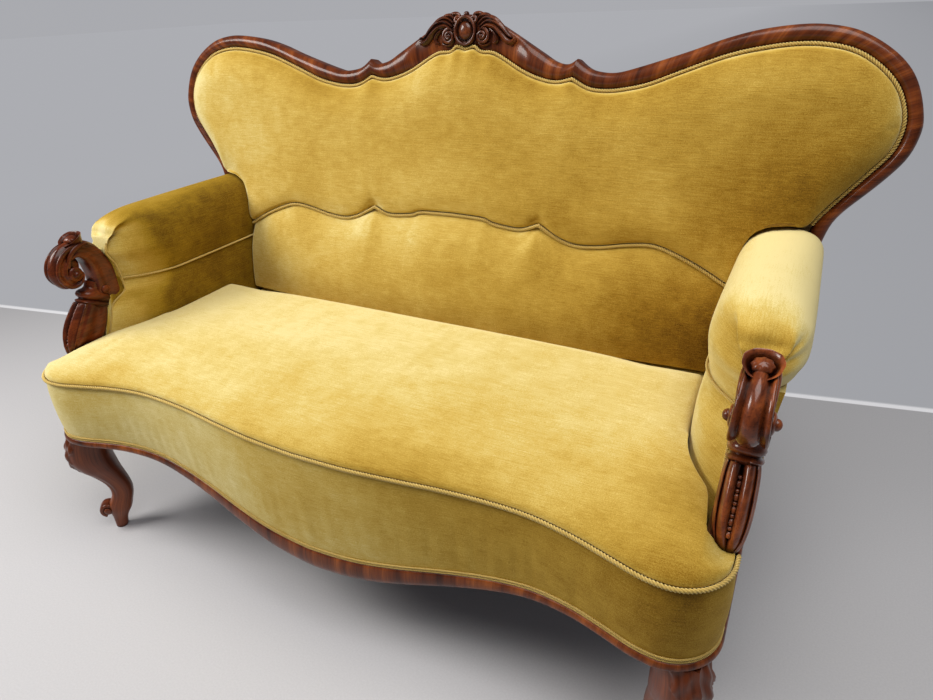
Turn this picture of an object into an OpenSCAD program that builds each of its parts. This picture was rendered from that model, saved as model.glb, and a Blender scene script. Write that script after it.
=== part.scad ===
// Cabriole sofa: a serpentine sprung seat on carved cabriole legs, upholstered arms on
// carved scroll posts, and a shaped show-wood back with two shoulders and a carved crest.
// +Z is up, the front faces -Y, and the origin lies on the floor under the middle.

/* [Overall] */
// Width across the shoulders of the back
overall_w = 1780; // [1600:10:1980]
// Depth from the front of the seat to the heels of the rear legs
overall_d = 820; // [780:5:900]
// Height of the crest above the floor
overall_h = 1136; // [1050:2:1250]

/* [Seat] */
// Width of the seat across its front corners
seat_w = 1480; // [1380:10:1600]
// Height of the welt along the front edge of the seat
seat_h = 460; // [430:2:500]
// Rise of the crown of the seat above its welt
seat_rise = 46; // [20:1:70]
// Depth from the front of the seat to the face of the back frame, at the welt
seat_run = 671; // [640:1:700]
// Depth of the two hollows in the serpentine front
hollow_d = 51; // [10:1:70]
// Radius of the front corners in plan
corner_r = 80; // [74:1:96]
// Radius over which the seat rolls down to its welt
roll_r = 60; // [30:1:80]

/* [Seat frame] */
// Height of the legs, up to the underside of the rails, as a share of the seat height
leg_share = 0.648; // [0.60:0.001:0.70]
// Height of the seat rails
rail_h = 87; // [75:1:95]
// Thickness of the seat rails
rail_t = 45; // [34:1:50]
// Height of the show-wood moulding at the corners
apron_h = 17; // [12:1:30]
// Height of the show-wood moulding at the middle of the front
apron_mid_h = 45; // [25:1:55]
// Drop of the scalloped gimp line from the corners to the middle
scallop_drop = 80; // [20:1:90]
// How far the moulding swells in front of the covering
apron_swell = 7; // [3:1:12]
// Thickness of the padded border and of the side covering
border_t = 12; // [8:1:16]
// Side of the square corner blocks
block_w = 74; // [60:1:84]
// Diameter of the round tenon on each front leg
tenon_d = 30; // [20:1:36]
// Length of the round tenon on each front leg
tenon_l = 60; // [40:1:70]

/* [Legs] */
// Depth of the knee along the diagonal
knee_d = 90; // [76:1:96]
// Width of the knee across the diagonal
knee_w = 80; // [64:1:88]
// Depth of the ankle along the diagonal
ankle_d = 50; // [38:1:56]
// Diameter of the scroll on the toe
toe_d = 44; // [34:1:52]
// Length of the toe scroll across the foot
toe_w = 38; // [28:1:46]
// Width of the rear legs and back posts
post_t = 45; // [36:1:50]
// Depth of the heel of each rear leg
heel_d = 40; // [32:1:48]

/* [Back] */
// Lean of the back in degrees
recline = 8; // [5:0.5:12]
// Thickness of the back frame behind its face
frame_t = 34; // [26:1:40]
// Swell of the show-wood in front of its face
wood_swell = 14; // [6:1:18]
// Fullness of the lumbar pad at the seat
lumbar_t = 120; // [90:1:135]
// Fullness of the upper pad along the lumbar seam
upper_t = 76; // [55:1:90]
// Fullness of the upper pad near the crest and shoulders
shoulder_t = 42; // [25:1:55]
// Depth left at the lumbar seam
seam_t = 58; // [40:1:60]
// Height of the lumbar seam above the welt, at the middle
seam_h = 256; // [230:1:280]

/* [Arms] */
// Height of the arms
arm_h = 758; // [730:2:790]
// Thickness of the arms across the roll
arm_w = 151; // [140:1:164]
// How far the roll stands outside the seat
arm_over = 41; // [30:1:50]
// Distance from the seat lobes back to the front of the arm posts
arm_set = 94; // [84:1:110]
// Width of the carved arm posts
arm_post_w = 50; // [40:1:54]
// Thickness of the stuffing on the inner face of an arm
arm_pad_t = 24; // [16:1:30]
// Height of the arm rail inside the roll
arm_rail_h = 40; // [30:1:46]

/* [Trim] */
// Diameter of the twisted piping cord
cord_d = 6.5; // [4:0.5:8]
// Width of the gimp braid over the rail
gimp_w = 8; // [6:1:12]
// Thickness of the gimp braid
gimp_t = 2.5; // [1.5:0.5:4]
// Radius of the carved cartouche on the crest
cartouche_r = 29; // [20:1:32]
// Depth of the carving in front of the crest
carve_t = 14; // [8:1:18]

/* [Springs and webbing] */
// Springs along the seat
spring_cols = 6; // [4:1:7]
// Springs from front to back
spring_rows = 3; // [2:1:3]
// Outer diameter of a seat spring
spring_d = 84; // [60:1:96]
// Waist diameter of a seat spring
spring_waist = 52; // [40:1:60]
// Diameter of the spring wire
wire_d = 4; // [3:0.5:5]
// Turns of a seat spring
spring_turns = 3; // [2:1:4]
// Width of the webbing
web_w = 50; // [40:1:60]
// Thickness of the webbing
web_t = 1.5; // [1:0.5:2]

/* [Hidden] */

// Finishes
mahogany = [0.37, 0.16, 0.08];
beech = [0.78, 0.62, 0.42];
plush = [0.76, 0.65, 0.30];
trim = [0.80, 0.68, 0.36];
jute = [0.66, 0.54, 0.36];
dust_cloth = [0.16, 0.15, 0.14];
steel = [0.55, 0.56, 0.58];

// Clearance between pieces that are not meant to press on each other
gap = 0.3;
// Clearance of curved pieces, and between one soft piece and another
snug = 0.9;
soft_clear = 3;
// Overrun of every cut
over = 1;
$fn = 40;

// Places that follow from the driving sizes
half_w = overall_w / 2;
seat_hw = seat_w / 2;
front_y = -overall_d / 2 + apron_swell;
back_y = front_y + seat_run;
leg_h = leg_share * seat_h;
rail_top = leg_h + rail_h;
corner_x = seat_hw - corner_r;
corner_y = front_y + corner_r;
wrap_l = 16;
ear_y = corner_y + wrap_l;
back_rise = (overall_h - seat_h) / cos(recline);
arm_out_x = seat_hw + arm_over;
arm_in_x = arm_out_x - arm_w;
arm_y = front_y + arm_set;
arm_rise = arm_h - seat_h;
post_inset = 16;
post_x = seat_hw - post_inset;

// Point of the back frame: x across, s up the slope from welt height, d forward of its face
function back_pt(x, s, d) = [
    x,
    back_y + s * sin(recline) - d * cos(recline),
    seat_h + s * cos(recline) + d * sin(recline)
];
// Slope distance of a height on the face of the back frame, and its y at depth d
function slope(z) = (z - seat_h) / cos(recline);
function face_y(z, d) = back_y + (z - seat_h) * tan(recline) - d / cos(recline);

// Curves
function spline(a, b, c, d, t) =
    0.5 * (2 * b + (c - a) * t + (2 * a - 5 * b + 4 * c - d) * t * t + (3 * b - a - 3 * c + d) * t * t * t);
function smooth(p, n) = [
    for (i = [0 : len(p) - 2], j = [0 : n - 1])
        spline(p[max(i - 1, 0)], p[i], p[i + 1], p[min(i + 2, len(p) - 1)], j / n),
    p[len(p) - 1]
];
function running(p) = [
    for (i = 0, s = 0; i < len(p); s = s + (i + 1 < len(p) ? norm(p[i + 1] - p[i]) : 0), i = i + 1) s
];
function column(p, keys, k) = [for (i = [0 : len(p) - 1]) [keys[i], p[i][k]]];
function resample(p, n) =
    let (run = running(p), span = run[len(p) - 1], xs = column(p, run, 0), ys = column(p, run, 1))
    [for (i = [0 : n]) [lookup(i / n * span, xs), lookup(i / n * span, ys)]];
function scaled(p, sx, sy) = [for (q = p) [q[0] * sx, q[1] * sy]];
function reversed(p) = [for (i = [len(p) - 1 : -1 : 0]) p[i]];
function flip_x(p) = [for (q = p) [for (k = [0 : len(q) - 1]) k == 0 ? -q[0] : q[k]]];
function tail_of(p) = [for (i = [1 : len(p) - 1]) p[i]];
function both_sides(p) = concat(reversed(flip_x(tail_of(p))), p);
function unit(v) = v / max(norm(v), 1e-9);
function heading(p, i) = unit(p[min(i + 1, len(p) - 1)] - p[max(i - 1, 0)]);
function sum_of(v) = [for (i = 0, s = 0; i <= len(v); s = s + (i < len(v) ? v[i] : 0), i = i + 1) s][len(v)];
function blend(a, b, t) = a + (b - a) * t;
function clamp01(t) = min(1, max(0, t));
function ease(t) = let (u = clamp01(t)) u * u * (3 - 2 * u);
function round_off(t) = let (u = 1 - clamp01(t)) sqrt(1 - u * u);

// Triangles across a ring made of two facing runs of points; facing lists, for each point
// of the first run, the point opposite to it, counted from the end of the ring
function zipped(base, m, facing) = [
    for (i = [0 : len(facing) - 2])
        each concat(
            [[base + i, base + i + 1, base + m - 1 - facing[i]]],
            facing[i + 1] > facing[i]
                ? [for (j = [facing[i] : facing[i + 1] - 1]) [base + i + 1, base + m - 2 - j, base + m - 1 - j]]
                : []
        )
];

// Closed solid through a row of rings with equal counts of points
module skin(rings, facing = []) {
    n = len(rings);
    m = len(rings[0]);
    pts = [for (r = rings) each r];
    sides = [
        for (i = [0 : n - 2], k = [0 : m - 1])
            let (a = i * m + k, b = i * m + (k + 1) % m)
                each [[a, b, b + m], [a, b + m, a + m]]
    ];
    mid = pts[0];
    volume = sum_of([for (f = sides) cross(pts[f[0]] - mid, pts[f[1]] - mid) * (pts[f[2]] - mid)]);
    last = (n - 1) * m;
    flat = len(facing) == 0;
    start = flat ? [[for (k = [m - 1 : -1 : 0]) k]] : [for (f = zipped(0, m, facing)) reversed(f)];
    end = flat ? [[for (k = [0 : m - 1]) last + k]] : zipped(last, m, facing);
    faces = concat(sides, start, end);
    polyhedron(points = pts, faces = volume > 0 ? [for (f = faces) reversed(f)] : faces);
}

// Rings of sections carried along a path; a section's second axis stays near ref
function swept(path, ref, sections) = [
    for (i = [0 : len(path) - 1])
        let (
            t = heading(path, i),
            side = unit(cross(t, ref)),
            up = cross(side, t),
            section = sections[min(i, len(sections) - 1)]
        )
            [for (q = section) path[i] + q[0] * side + q[1] * up]
];
function oval(a, b, n) = [for (k = [0 : n - 1]) [a * cos(360 * k / n), b * sin(360 * k / n)]];
module cord(path, ref, d, n = 6) skin(swept(path, ref, [oval(d / 2, d / 2, n)]));
module mirrored(side) {
    if (side < 0) mirror([1, 0, 0]) children();
    else children();
}

// Seat outline in plan: shares of the corner centre across and of the hollow behind the lobes
serpentine_shares = [
    [0, 0.35], [0.16, 0.44], [0.30, 0.64], [0.44, 0.88], [0.57, 1.0], [0.68, 0.97],
    [0.79, 0.70], [0.88, 0.35], [0.95, 0.08], [1.0, 0.0]
];
corner_steps = 5;
outline_half = concat(
    [for (p = smooth(scaled(serpentine_shares, corner_x, hollow_d), 2)) [p[0], front_y + p[1]]],
    [for (k = [1 : corner_steps]) let (a = 90 * k / corner_steps)
        [corner_x + corner_r * sin(a), corner_y - corner_r * cos(a)]],
    [[seat_hw, ear_y]]
);
outline = both_sides(outline_half);
function edge_y(x) = lookup(abs(x), outline_half);
function outward(p, i) = let (t = heading(p, i)) [t[1], -t[0]];
function shifted(p, w) = [for (i = [0 : len(p) - 1]) p[i] + w * outward(p, i)];

// Scallop of the front: 1 at the middle and 0 towards the corners
scallop_share = 0.9;
function scallop(x) = 0.5 + 0.5 * cos(180 * min(1, abs(x) / (scallop_share * corner_x)));
function gimp_z(x) = leg_h + apron_h - scallop_drop * scallop(x);
function apron_z(x) = leg_h - (scallop_drop + apron_mid_h - apron_h) * scallop(x);

// Rings of a section that follows an outline; its first axis points outward
function front_rings(path, section) = [
    for (i = [0 : len(path) - 1])
        let (side = outward(path, i))
            [for (s = section(path[i][0])) [path[i][0] + s[0] * side[0], path[i][1] + s[0] * side[1], s[1]]]
];
// Section of the show-wood moulding as shares of its swell and its height
moulding_shares = [[0.0, 1.0], [0.55, 0.93], [0.8, 0.75], [1.0, 0.50], [0.85, 0.22], [0.30, 0.0]];
function moulding(top, foot) = [for (q = moulding_shares) [q[0] * apron_swell, blend(foot, top, q[1])]];
function rail_section(top, foot) = concat(
    [[-rail_t, foot], [-rail_t, rail_top], [-border_t - gap, rail_top], [-border_t - gap, top]],
    moulding(top, foot)
);

module front_rail() color(mahogany)
    skin(front_rings(outline, function (x) rail_section(gimp_z(x), apron_z(x))));

batten_w = 26;
batten_h = 28;
batten_share = 0.84;
batten_path = [for (p = outline) if (abs(p[0]) < batten_share * corner_x) p];
module front_batten() color(beech)
    skin(front_rings(batten_path, function (x) [
        [-rail_t - batten_w, leg_h], [-rail_t, leg_h], [-rail_t, leg_h + batten_h],
        [-rail_t - batten_w, leg_h + batten_h]
    ]));

rear_post_y = back_y - frame_t / 3;
pilot_d = 4;
pilot_l = 22;
screw_z = leg_h + rail_h / 2;
front_screw_y = ear_y + block_w / 4;
rear_screw_y = rear_post_y - block_w / 3;
module side_rail(side) color(mahogany) mirrored(side) difference() {
    translate([seat_hw, rear_post_y, 0]) rotate([90, 0, 0])
        linear_extrude(rear_post_y - ear_y) polygon(rail_section(leg_h + apron_h, leg_h));
    for (y = [front_screw_y, rear_screw_y])
        translate([seat_hw - rail_t - over, y, screw_z]) rotate([0, 90, 0])
            cylinder(d = pilot_d, h = pilot_l + over);
}

back_rail_x = seat_hw - post_t;
module back_seat_rail() color(beech)
    translate([-back_rail_x, rear_post_y, leg_h]) cube([2 * back_rail_x, frame_t, rail_h]);

// Front legs stand under the corners, turned out along the diagonal
bore_wall = 3;
leg_out = (corner_r - rail_t - tenon_d / 2 - bore_wall) / sqrt(2);
leg_at = [corner_x + leg_out, corner_y - leg_out];
block_path = shifted([for (p = outline_half) if (p[0] > corner_x - block_w) p], -rail_t);
block_outline = concat(block_path, [
    [seat_hw - rail_t, ear_y + block_w / 2],
    [block_path[0][0], ear_y + block_w / 2]
]);
clearance_d = 5;
module screw_hole(y) translate([seat_hw - rail_t - block_w * 2, y, screw_z]) rotate([0, 90, 0])
    cylinder(d = clearance_d + gap, h = block_w * 2 + over);
module corner_block_front(side) color(beech) mirrored(side) difference() {
    translate([0, 0, leg_h]) linear_extrude(rail_h) polygon(block_outline);
    translate([leg_at[0], leg_at[1], leg_h - over]) cylinder(d = tenon_d + gap, h = tenon_l + over);
    screw_hole(front_screw_y);
}
rear_block_share = 0.7;
rear_block_w = rear_block_share * block_w;
module corner_block_rear(side) color(beech) mirrored(side) difference() {
    translate([0, 0, leg_h]) linear_extrude(rail_h) polygon([
        [seat_hw - rail_t, rear_post_y],
        [seat_hw - rail_t, rear_post_y - rear_block_w],
        [seat_hw - rail_t - rear_block_w, rear_post_y]
    ]);
    screw_hole(rear_screw_y);
    translate([rear_head_x - block_w, rear_screw_y, screw_z]) rotate([0, 90, 0])
        cylinder(d = head_d + over, h = block_w);
}
head_d = 9;
head_h = 3;
module block_screws() color(steel)
    for (side = [-1, 1], spot = [[block_path[0][0], front_screw_y], [rear_head_x, rear_screw_y]])
        mirrored(side) translate([spot[0], spot[1], screw_z]) rotate([0, 90, 0]) {
            translate([0, 0, -head_h]) cylinder(d = head_d, h = head_h);
            cylinder(d = pilot_d - gap, h = seat_hw - rail_t - spot[0] + pilot_l - gap);
        }
rear_head_x = seat_hw - rail_t - rear_block_w + (rear_post_y - rear_screw_y);

// Cabriole leg: height share, offset share of the knee, knee share, ankle share
leg_shares = [
    [1.0, 0.26, 0.92, 0], [0.87, 0.39, 0.97, 0], [0.76, 0.41, 1.0, 0], [0.66, 0.31, 0.75, 0.25],
    [0.58, 0.18, 0.45, 0.5], [0.48, 0.03, 0.15, 0.8], [0.40, -0.03, 0, 1.0], [0.33, -0.01, 0, 1.02],
    [0.25, 0.10, 0, 1.12], [0.19, 0.15, 0, 1.05], [0.10, 0.23, 0, 0.70], [0.01, 0.27, 0, 0.56]
];
ankle_w_share = 0.84;
leg_points = 12;
square_share = 0.72;
function squarish(a, b, n) = [
    for (k = [0 : n - 1])
        let (c = cos(360 * k / n), s = sin(360 * k / n))
            [a * sign(c) * pow(abs(c), square_share), b * sign(s) * pow(abs(s), square_share)]
];
leg_rings = [
    for (r = smooth(leg_shares, 2))
        let (
            a = (r[2] * knee_d + r[3] * ankle_d) / 2,
            b = (r[2] * knee_w + r[3] * ankle_w_share * ankle_d) / 2
        )
            [for (q = squarish(a, b, leg_points)) [q[0] + r[1] * knee_d, q[1], r[0] * leg_h]]
];
foot_x = leg_shares[11][1] * knee_d;
pad_h = 4;
pad_share = 0.5;
toe_out_share = 0.45;
toe_up_share = 0.21;
toe_x = toe_out_share * knee_d;
toe_z = toe_up_share * leg_h;
toe_shares = [
    [0, 0], [0.80, 0], [1.0, 0.12], [1.0, 0.30], [0.9, 0.42], [0.55, 0.46], [0.45, 0.40],
    [0.32, 0.44], [0.18, 0.58], [0, 0.62]
];
module toe_scroll() rotate([90, 0, 0]) for (flip = [0, 1]) mirror([0, 0, flip])
    rotate_extrude() polygon([for (q = toe_shares) [q[0] * toe_d / 2, q[1] * toe_w]]);
module front_leg(side) color(mahogany) mirrored(side)
    translate([leg_at[0], leg_at[1], 0]) rotate([0, 0, -45]) {
        skin(leg_rings);
        translate([toe_x, 0, toe_z]) toe_scroll();
        translate([foot_x, 0, 0]) cylinder(d = pad_share * ankle_d, h = pad_h);
        translate([0, 0, leg_h - over]) cylinder(d = tenon_d - gap, h = tenon_l - gap + over);
    }

// Rear leg: shares of its sweep towards the post and of its height
heel_y = overall_d / 2 - heel_d;
rear_spread = heel_d / 4;
rear_front_shares = [[0, 0], [0.14, 0.15], [0.42, 0.42], [0.72, 0.72], [1, 1]];
rear_back_shares = [[0, 0], [0.20, 0.15], [0.55, 0.42], [0.86, 0.72], [1, 1]];
function rear_line(shares, foot, top) =
    smooth([for (q = shares) [blend(foot, top, q[0]), q[1] * leg_h]], 4);
rear_top_y = rear_post_y + frame_t + rear_spread;
module rear_leg(side) color(mahogany) mirrored(side)
    translate([seat_hw - post_t, 0, 0]) rotate([90, 0, 90]) linear_extrude(post_t)
        polygon(concat(
            rear_line(rear_front_shares, heel_y, rear_post_y),
            [[rear_post_y, rail_top], [rear_top_y, rail_top]],
            reversed(rear_line(rear_back_shares, heel_y + heel_d, rear_top_y))
        ));

// Outlines of the back in shares of the half width and of the rise above the welt;
// each starts at the middle of the crest, and the notch lies between two lists
crest_out_shares = [
    [0, 1.0], [0.030, 0.995], [0.070, 0.980], [0.107, 0.955], [0.144, 0.928], [0.196, 0.889],
    [0.232, 0.863], [0.268, 0.854], [0.290, 0.869]
];
crest_in_shares = [
    [0, 0.903], [0.025, 0.911], [0.045, 0.895], [0.084, 0.889], [0.155, 0.840], [0.202, 0.817],
    [0.244, 0.808], [0.283, 0.818]
];
shoulder_out_shares = [
    [0.290, 0.869], [0.314, 0.846], [0.340, 0.835], [0.382, 0.831], [0.433, 0.846], [0.537, 0.887],
    [0.613, 0.921], [0.684, 0.943], [0.764, 0.953], [0.820, 0.947], [0.865, 0.931], [0.921, 0.889],
    [0.961, 0.839], [0.985, 0.779], [1.0, 0.712]
];
shoulder_in_shares = [
    [0.283, 0.818], [0.326, 0.791], [0.371, 0.786], [0.416, 0.793], [0.463, 0.807], [0.528, 0.839],
    [0.618, 0.881], [0.688, 0.901], [0.757, 0.911], [0.813, 0.907], [0.866, 0.888], [0.916, 0.845],
    [0.949, 0.796], [0.967, 0.738], [0.970, 0.700]
];
stile_out_shares = [
    [1.0, 0.712], [0.989, 0.641], [0.960, 0.583], [0.926, 0.530], [0.894, 0.482], [0.873, 0.425]
];
stile_in_shares = [
    [0.970, 0.700], [0.960, 0.645], [0.930, 0.591], [0.893, 0.529], [0.863, 0.476], [0.840, 0.417]
];
stile_w = 44;
stile_foot = slope(rail_top);
// Where the stile bows out above the seat, and its width there and at the welt
bow_share = 0.22;
bow_w_share = 0.385;
welt_w_share = 0.73;
stile_out_low = [[seat_hw + border_t, bow_share * back_rise], [seat_hw, 0], [seat_hw, stile_foot]];
stile_in_low = [
    [seat_hw - bow_w_share * stile_w, bow_share * back_rise],
    [seat_hw - welt_w_share * stile_w, 0],
    [seat_hw - stile_w, stile_foot]
];
function on_face(shares) = scaled(shares, half_w, back_rise);
crest_out = smooth(on_face(crest_out_shares), 2);
crest_in = smooth(on_face(crest_in_shares), 2);
shoulder_out = smooth(on_face(shoulder_out_shares), 2);
shoulder_in = smooth(on_face(shoulder_in_shares), 2);
stile_out = smooth(concat(on_face(stile_out_shares), stile_out_low), 3);
stile_in = smooth(concat(on_face(stile_in_shares), stile_in_low), 3);
frame_half = concat(
    on_face(crest_out_shares), tail_of(on_face(shoulder_out_shares)),
    tail_of(concat(on_face(stile_out_shares), stile_out_low))
);

// Section of the show-wood: share across, then share of the swell or, when negative, of the thickness
wood_shares = [
    [0, -1], [0, 0.3], [0.1, 0.62], [0.3, 0.93], [0.52, 1.0], [0.74, 0.86], [0.91, 0.5],
    [1.0, 0.05], [1.0, -0.6], [0.9, -1]
];
function wood_ring(a, b, swell) = [
    for (q = wood_shares)
        back_pt(blend(a[0], b[0], q[0]), blend(a[1], b[1], q[0]), q[1] * (q[1] > 0 ? swell : frame_t))
];
// The same section cut off level at the top of the rear leg
function foot_ring(a, b) = [
    for (q = wood_shares)
        [blend(a[0], b[0], q[0]), face_y(rail_top, q[1] * (q[1] > 0 ? wood_swell : frame_t)), rail_top]
];
function wood_rings(inner, outer, n) =
    let (a = resample(inner, n), b = resample(outer, n)) [for (i = [0 : n]) wood_ring(a[i], b[i], wood_swell)];
// The ground under the carving is cut back
carved_share = 0.18;
ground_share = 0.4;
carved_w = carved_share * half_w;
function crest_swell(x) = wood_swell * blend(1, ground_share, ease((carved_w - abs(x)) / (carved_w / 4)));
crest_steps = 12;
shoulder_steps = 22;
stile_steps = 14;
module crest_rail() color(mahogany)
    let (
        a = both_sides(resample(crest_in, crest_steps)),
        b = both_sides(resample(crest_out, crest_steps))
    )
        skin([for (i = [0 : 2 * crest_steps]) wood_ring(a[i], b[i], crest_swell(b[i][0]))]);
module shoulder_rail(side) color(mahogany) mirrored(side)
    skin(wood_rings(shoulder_in, shoulder_out, shoulder_steps));
module back_stile(side) color(mahogany) mirrored(side)
    let (rings = wood_rings(stile_in, stile_out, stile_steps))
        skin([for (i = [0 : stile_steps]) i < stile_steps ? rings[i]
            : foot_ring(stile_in[len(stile_in) - 1], stile_out[len(stile_out) - 1])]);

// Flat shapes drawn on the face of the back, from depth d0 forward to d1
module on_back(d0, d1) translate([0, back_y, seat_h]) rotate([90 - recline, 0, 0])
    translate([0, 0, d0]) linear_extrude(d1 - d0) children();

// Carved crest: cartouche, a rosette on each side and two long leaves
cartouche_up_share = 0.951;
rosette_down_share = 0.565;
rosette_out_share = 1.42;
rosette_r_share = 0.58;
leaf_out_share = 0.8;
cartouche_s = cartouche_up_share * back_rise;
rosette_s = cartouche_s - rosette_down_share * cartouche_r;
rosette_x = rosette_out_share * cartouche_r;
rosette_r = rosette_r_share * cartouche_r;
carve_base = ground_share * wood_swell + gap;
cartouche_shares = [
    [0, 0], [1.0, 0], [1.0, 0.45], [0.93, 0.68], [0.84, 0.62], [0.76, 0.40], [0.60, 0.42],
    [0.52, 0.75], [0.36, 0.94], [0.15, 1.0], [0, 1.0]
];
rosette_shares = [
    [0, 0], [1.0, 0], [1.0, 0.40], [0.82, 0.62], [0.62, 0.38], [0.45, 0.50], [0.30, 0.78], [0, 0.85]
];
leaf_shares = [
    [0.0, 0.0], [0.6, 0.75], [1.3, 0.82], [2.1, 0.45], [2.8, -0.15], [3.15, -0.42], [3.25, -0.85],
    [2.9, -0.95], [2.35, -0.70], [1.8, -0.15], [1.2, 0.10], [0.6, -0.05]
];
module boss(shares, r, x, s) translate([0, back_y, seat_h]) rotate([90 - recline, 0, 0])
    translate([x, s, carve_base]) rotate_extrude() polygon([for (q = shares) [q[0] * r, q[1] * carve_t]]);
module crest_carving() color(mahogany) {
    boss(cartouche_shares, cartouche_r, 0, cartouche_s);
    for (side = [-1, 1]) {
        boss(rosette_shares, rosette_r, side * rosette_x, rosette_s);
        on_back(carve_base, carve_base + carve_t / 2)
            translate([side * leaf_out_share * cartouche_r, cartouche_s])
                mirror([side < 0 ? 1 : 0, 0]) polygon(scaled(leaf_shares, cartouche_r, cartouche_r));
    }
}

// Inner edge of the whole show-wood, and of a stile at a slope distance
wood_line = concat(crest_in, tail_of(shoulder_in), tail_of(stile_in));
stile_table = reversed([for (p = stile_in) [p[1], p[0]]]);
function stile_x(s) = lookup(s, stile_table);
module back_bar(s0, s1) color(beech) on_back(-frame_t, -web_t - gap)
    let (side = [for (s = [s0, (s0 + s1) / 2, s1]) [stile_x(s) - snug, s]])
        polygon(concat(side, reversed(flip_x(side))));
bar_w = 60;
outside_back_t = 3;
base_s = stile_foot + (frame_t + outside_back_t) * tan(recline) + gap;
module back_base_rail() back_bar(base_s, base_s + bar_w);
module back_mid_rail() back_bar(seam_h - bar_w / 2, seam_h + bar_w / 2);

// Arm front: height share and depth share of the line where the covering meets the carved post
arm_edge_shares = [
    [0, 0.224], [0.01, 0.224], [0.058, 0.273], [0.151, 0.328], [0.229, 0.361], [0.294, 0.385],
    [0.333, 0.420], [0.385, 0.542], [0.51, 0.542], [0.624, 0.524], [0.728, 0.470], [0.791, 0.500],
    [0.863, 0.503], [0.921, 0.447], [1.009, 0.437]
];
arm_edge = [for (q = arm_edge_shares) [seat_h + q[0] * arm_rise, arm_y + q[1] * arm_rise]];
function arm_front(z) = lookup(z, arm_edge);
function arm_back(z) = face_y(z, wood_swell + gap);

// Carved post: scroll and drop as depth share, height share, half thickness share, half width share
scroll_shares = [
    [0.41, 0.401, 0.104, 1], [0.422, 0.503, 0.094, 1], [0.416, 0.621, 0.091, 1],
    [0.372, 0.739, 0.078, 1], [0.285, 0.805, 0.06, 1], [0.195, 0.796, 0.054, 1],
    [0.128, 0.739, 0.052, 0.98], [0.104, 0.661, 0.05, 0.95], [0.14, 0.595, 0.046, 0.92],
    [0.198, 0.589, 0.037, 0.9], [0.231, 0.63, 0.029, 0.95], [0.213, 0.666, 0.023, 1]
];
drop_shares = [
    [0.314, 0.418, 0.104, 0.9], [0.295, 0.39, 0.123, 1.1], [0.283, 0.359, 0.117, 0.98],
    [0.248, 0.302, 0.13, 1.02], [0.192, 0.213, 0.144, 1.06], [0.135, 0.135, 0.137, 1.04],
    [0.088, 0.085, 0.109, 0.96], [0.052, 0.057, 0.073, 0.8], [0.031, 0.044, 0.031, 0.42]
];
knob_shares = [
    [0.359, 0.791, 0.021, 0.5], [0.38, 0.822, 0.057, 0.86], [0.411, 0.855, 0.068, 0.92],
    [0.442, 0.884, 0.042, 0.6]
];
post_points = 12;
function post_path(shares) = [for (q = shares) [post_x, arm_y + q[0] * arm_rise, seat_h + q[1] * arm_rise]];
function post_sections(shares) = [
    for (q = shares) squarish(q[2] * arm_rise, q[3] * arm_post_w / 2, post_points)
];
module carved(shares, n) let (fine = smooth(shares, n))
    skin(swept(post_path(fine), [1, 0, 0], post_sections(fine)));
stump_share = 0.085;
stump_top = seat_h + stump_share * arm_rise;
stump_y = ear_y + gap;
stump_l = arm_front(seat_h) - stump_y;
// Turned button that closes the eye of the scroll on both sides: share of its radius, share of its length
button_shares = [
    [0, -1], [0.55, -0.97], [0.95, -0.84], [1.0, -0.70], [0.72, -0.58],
    [0.72, 0.58], [1.0, 0.70], [0.95, 0.84], [0.55, 0.97], [0, 1]
];
button_r_share = 0.055;
button_l_share = 0.86;
eye_shares = [0.19, 0.65];
button_r = button_r_share * arm_rise;
button_l = button_l_share * arm_post_w;
eye_y = arm_y + eye_shares[0] * arm_rise;
eye_z = seat_h + eye_shares[1] * arm_rise;
module arm_post(side) color(mahogany) mirrored(side) {
    carved(scroll_shares, 2);
    carved(drop_shares, 2);
    carved(knob_shares, 1);
    translate([post_x, eye_y, eye_z]) rotate([0, 90, 0])
        rotate_extrude() polygon(scaled(button_shares, button_r, button_l));
    translate([seat_hw - rail_t, stump_y, rail_top])
        cube([rail_t - border_t - gap, stump_l, stump_top - rail_top]);
}

// The stuffing on the inner face closes in on the post over the last stretch of the arm
flare_w = 70;
flare_l = 140;
flare_power = 2.2;
function closing(w, l) = pow(1 - clamp01(w / l), flare_power);
function flare_slope(w) = flare_w * flare_power / flare_l * pow(1 - clamp01(w / flare_l), flare_power - 1);

// Arm rail from the post back to the stile, inside the roll
arm_rail_w = 36;
arm_rail_x = post_x - arm_rail_w / 2 + gap;
arm_rail_share = 0.625;
arm_rail_z = seat_h + arm_rail_share * arm_rise;
arm_rail_y = max(arm_front(arm_rail_z), arm_front(arm_rail_z + arm_rail_h)) + snug;
module arm_rail(side) color(beech) mirrored(side)
    translate([arm_rail_x, arm_rail_y, arm_rail_z])
        cube([arm_rail_w, arm_back(arm_rail_z) - arm_rail_y, arm_rail_h]);
// Rail behind the foot of the stuffing, on top of the side rail
tack_h = 40;
tack_share = 0.45;
tack_y = arm_front(seat_h) + tack_share * flare_l;
module arm_tack_rail(side) color(beech) mirrored(side)
    translate([seat_hw - rail_t, tack_y, rail_top])
        cube([rail_t - border_t - gap, arm_back(rail_top) - tack_y - gap, tack_h]);

// Arm pad: at the front its section closes in on the post
arm_stations_shares = [0, 0.012, 0.03, 0.06, 0.10, 0.15, 0.21, 0.29, 0.40, 0.55, 0.70, 0.85, 1.0];
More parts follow.
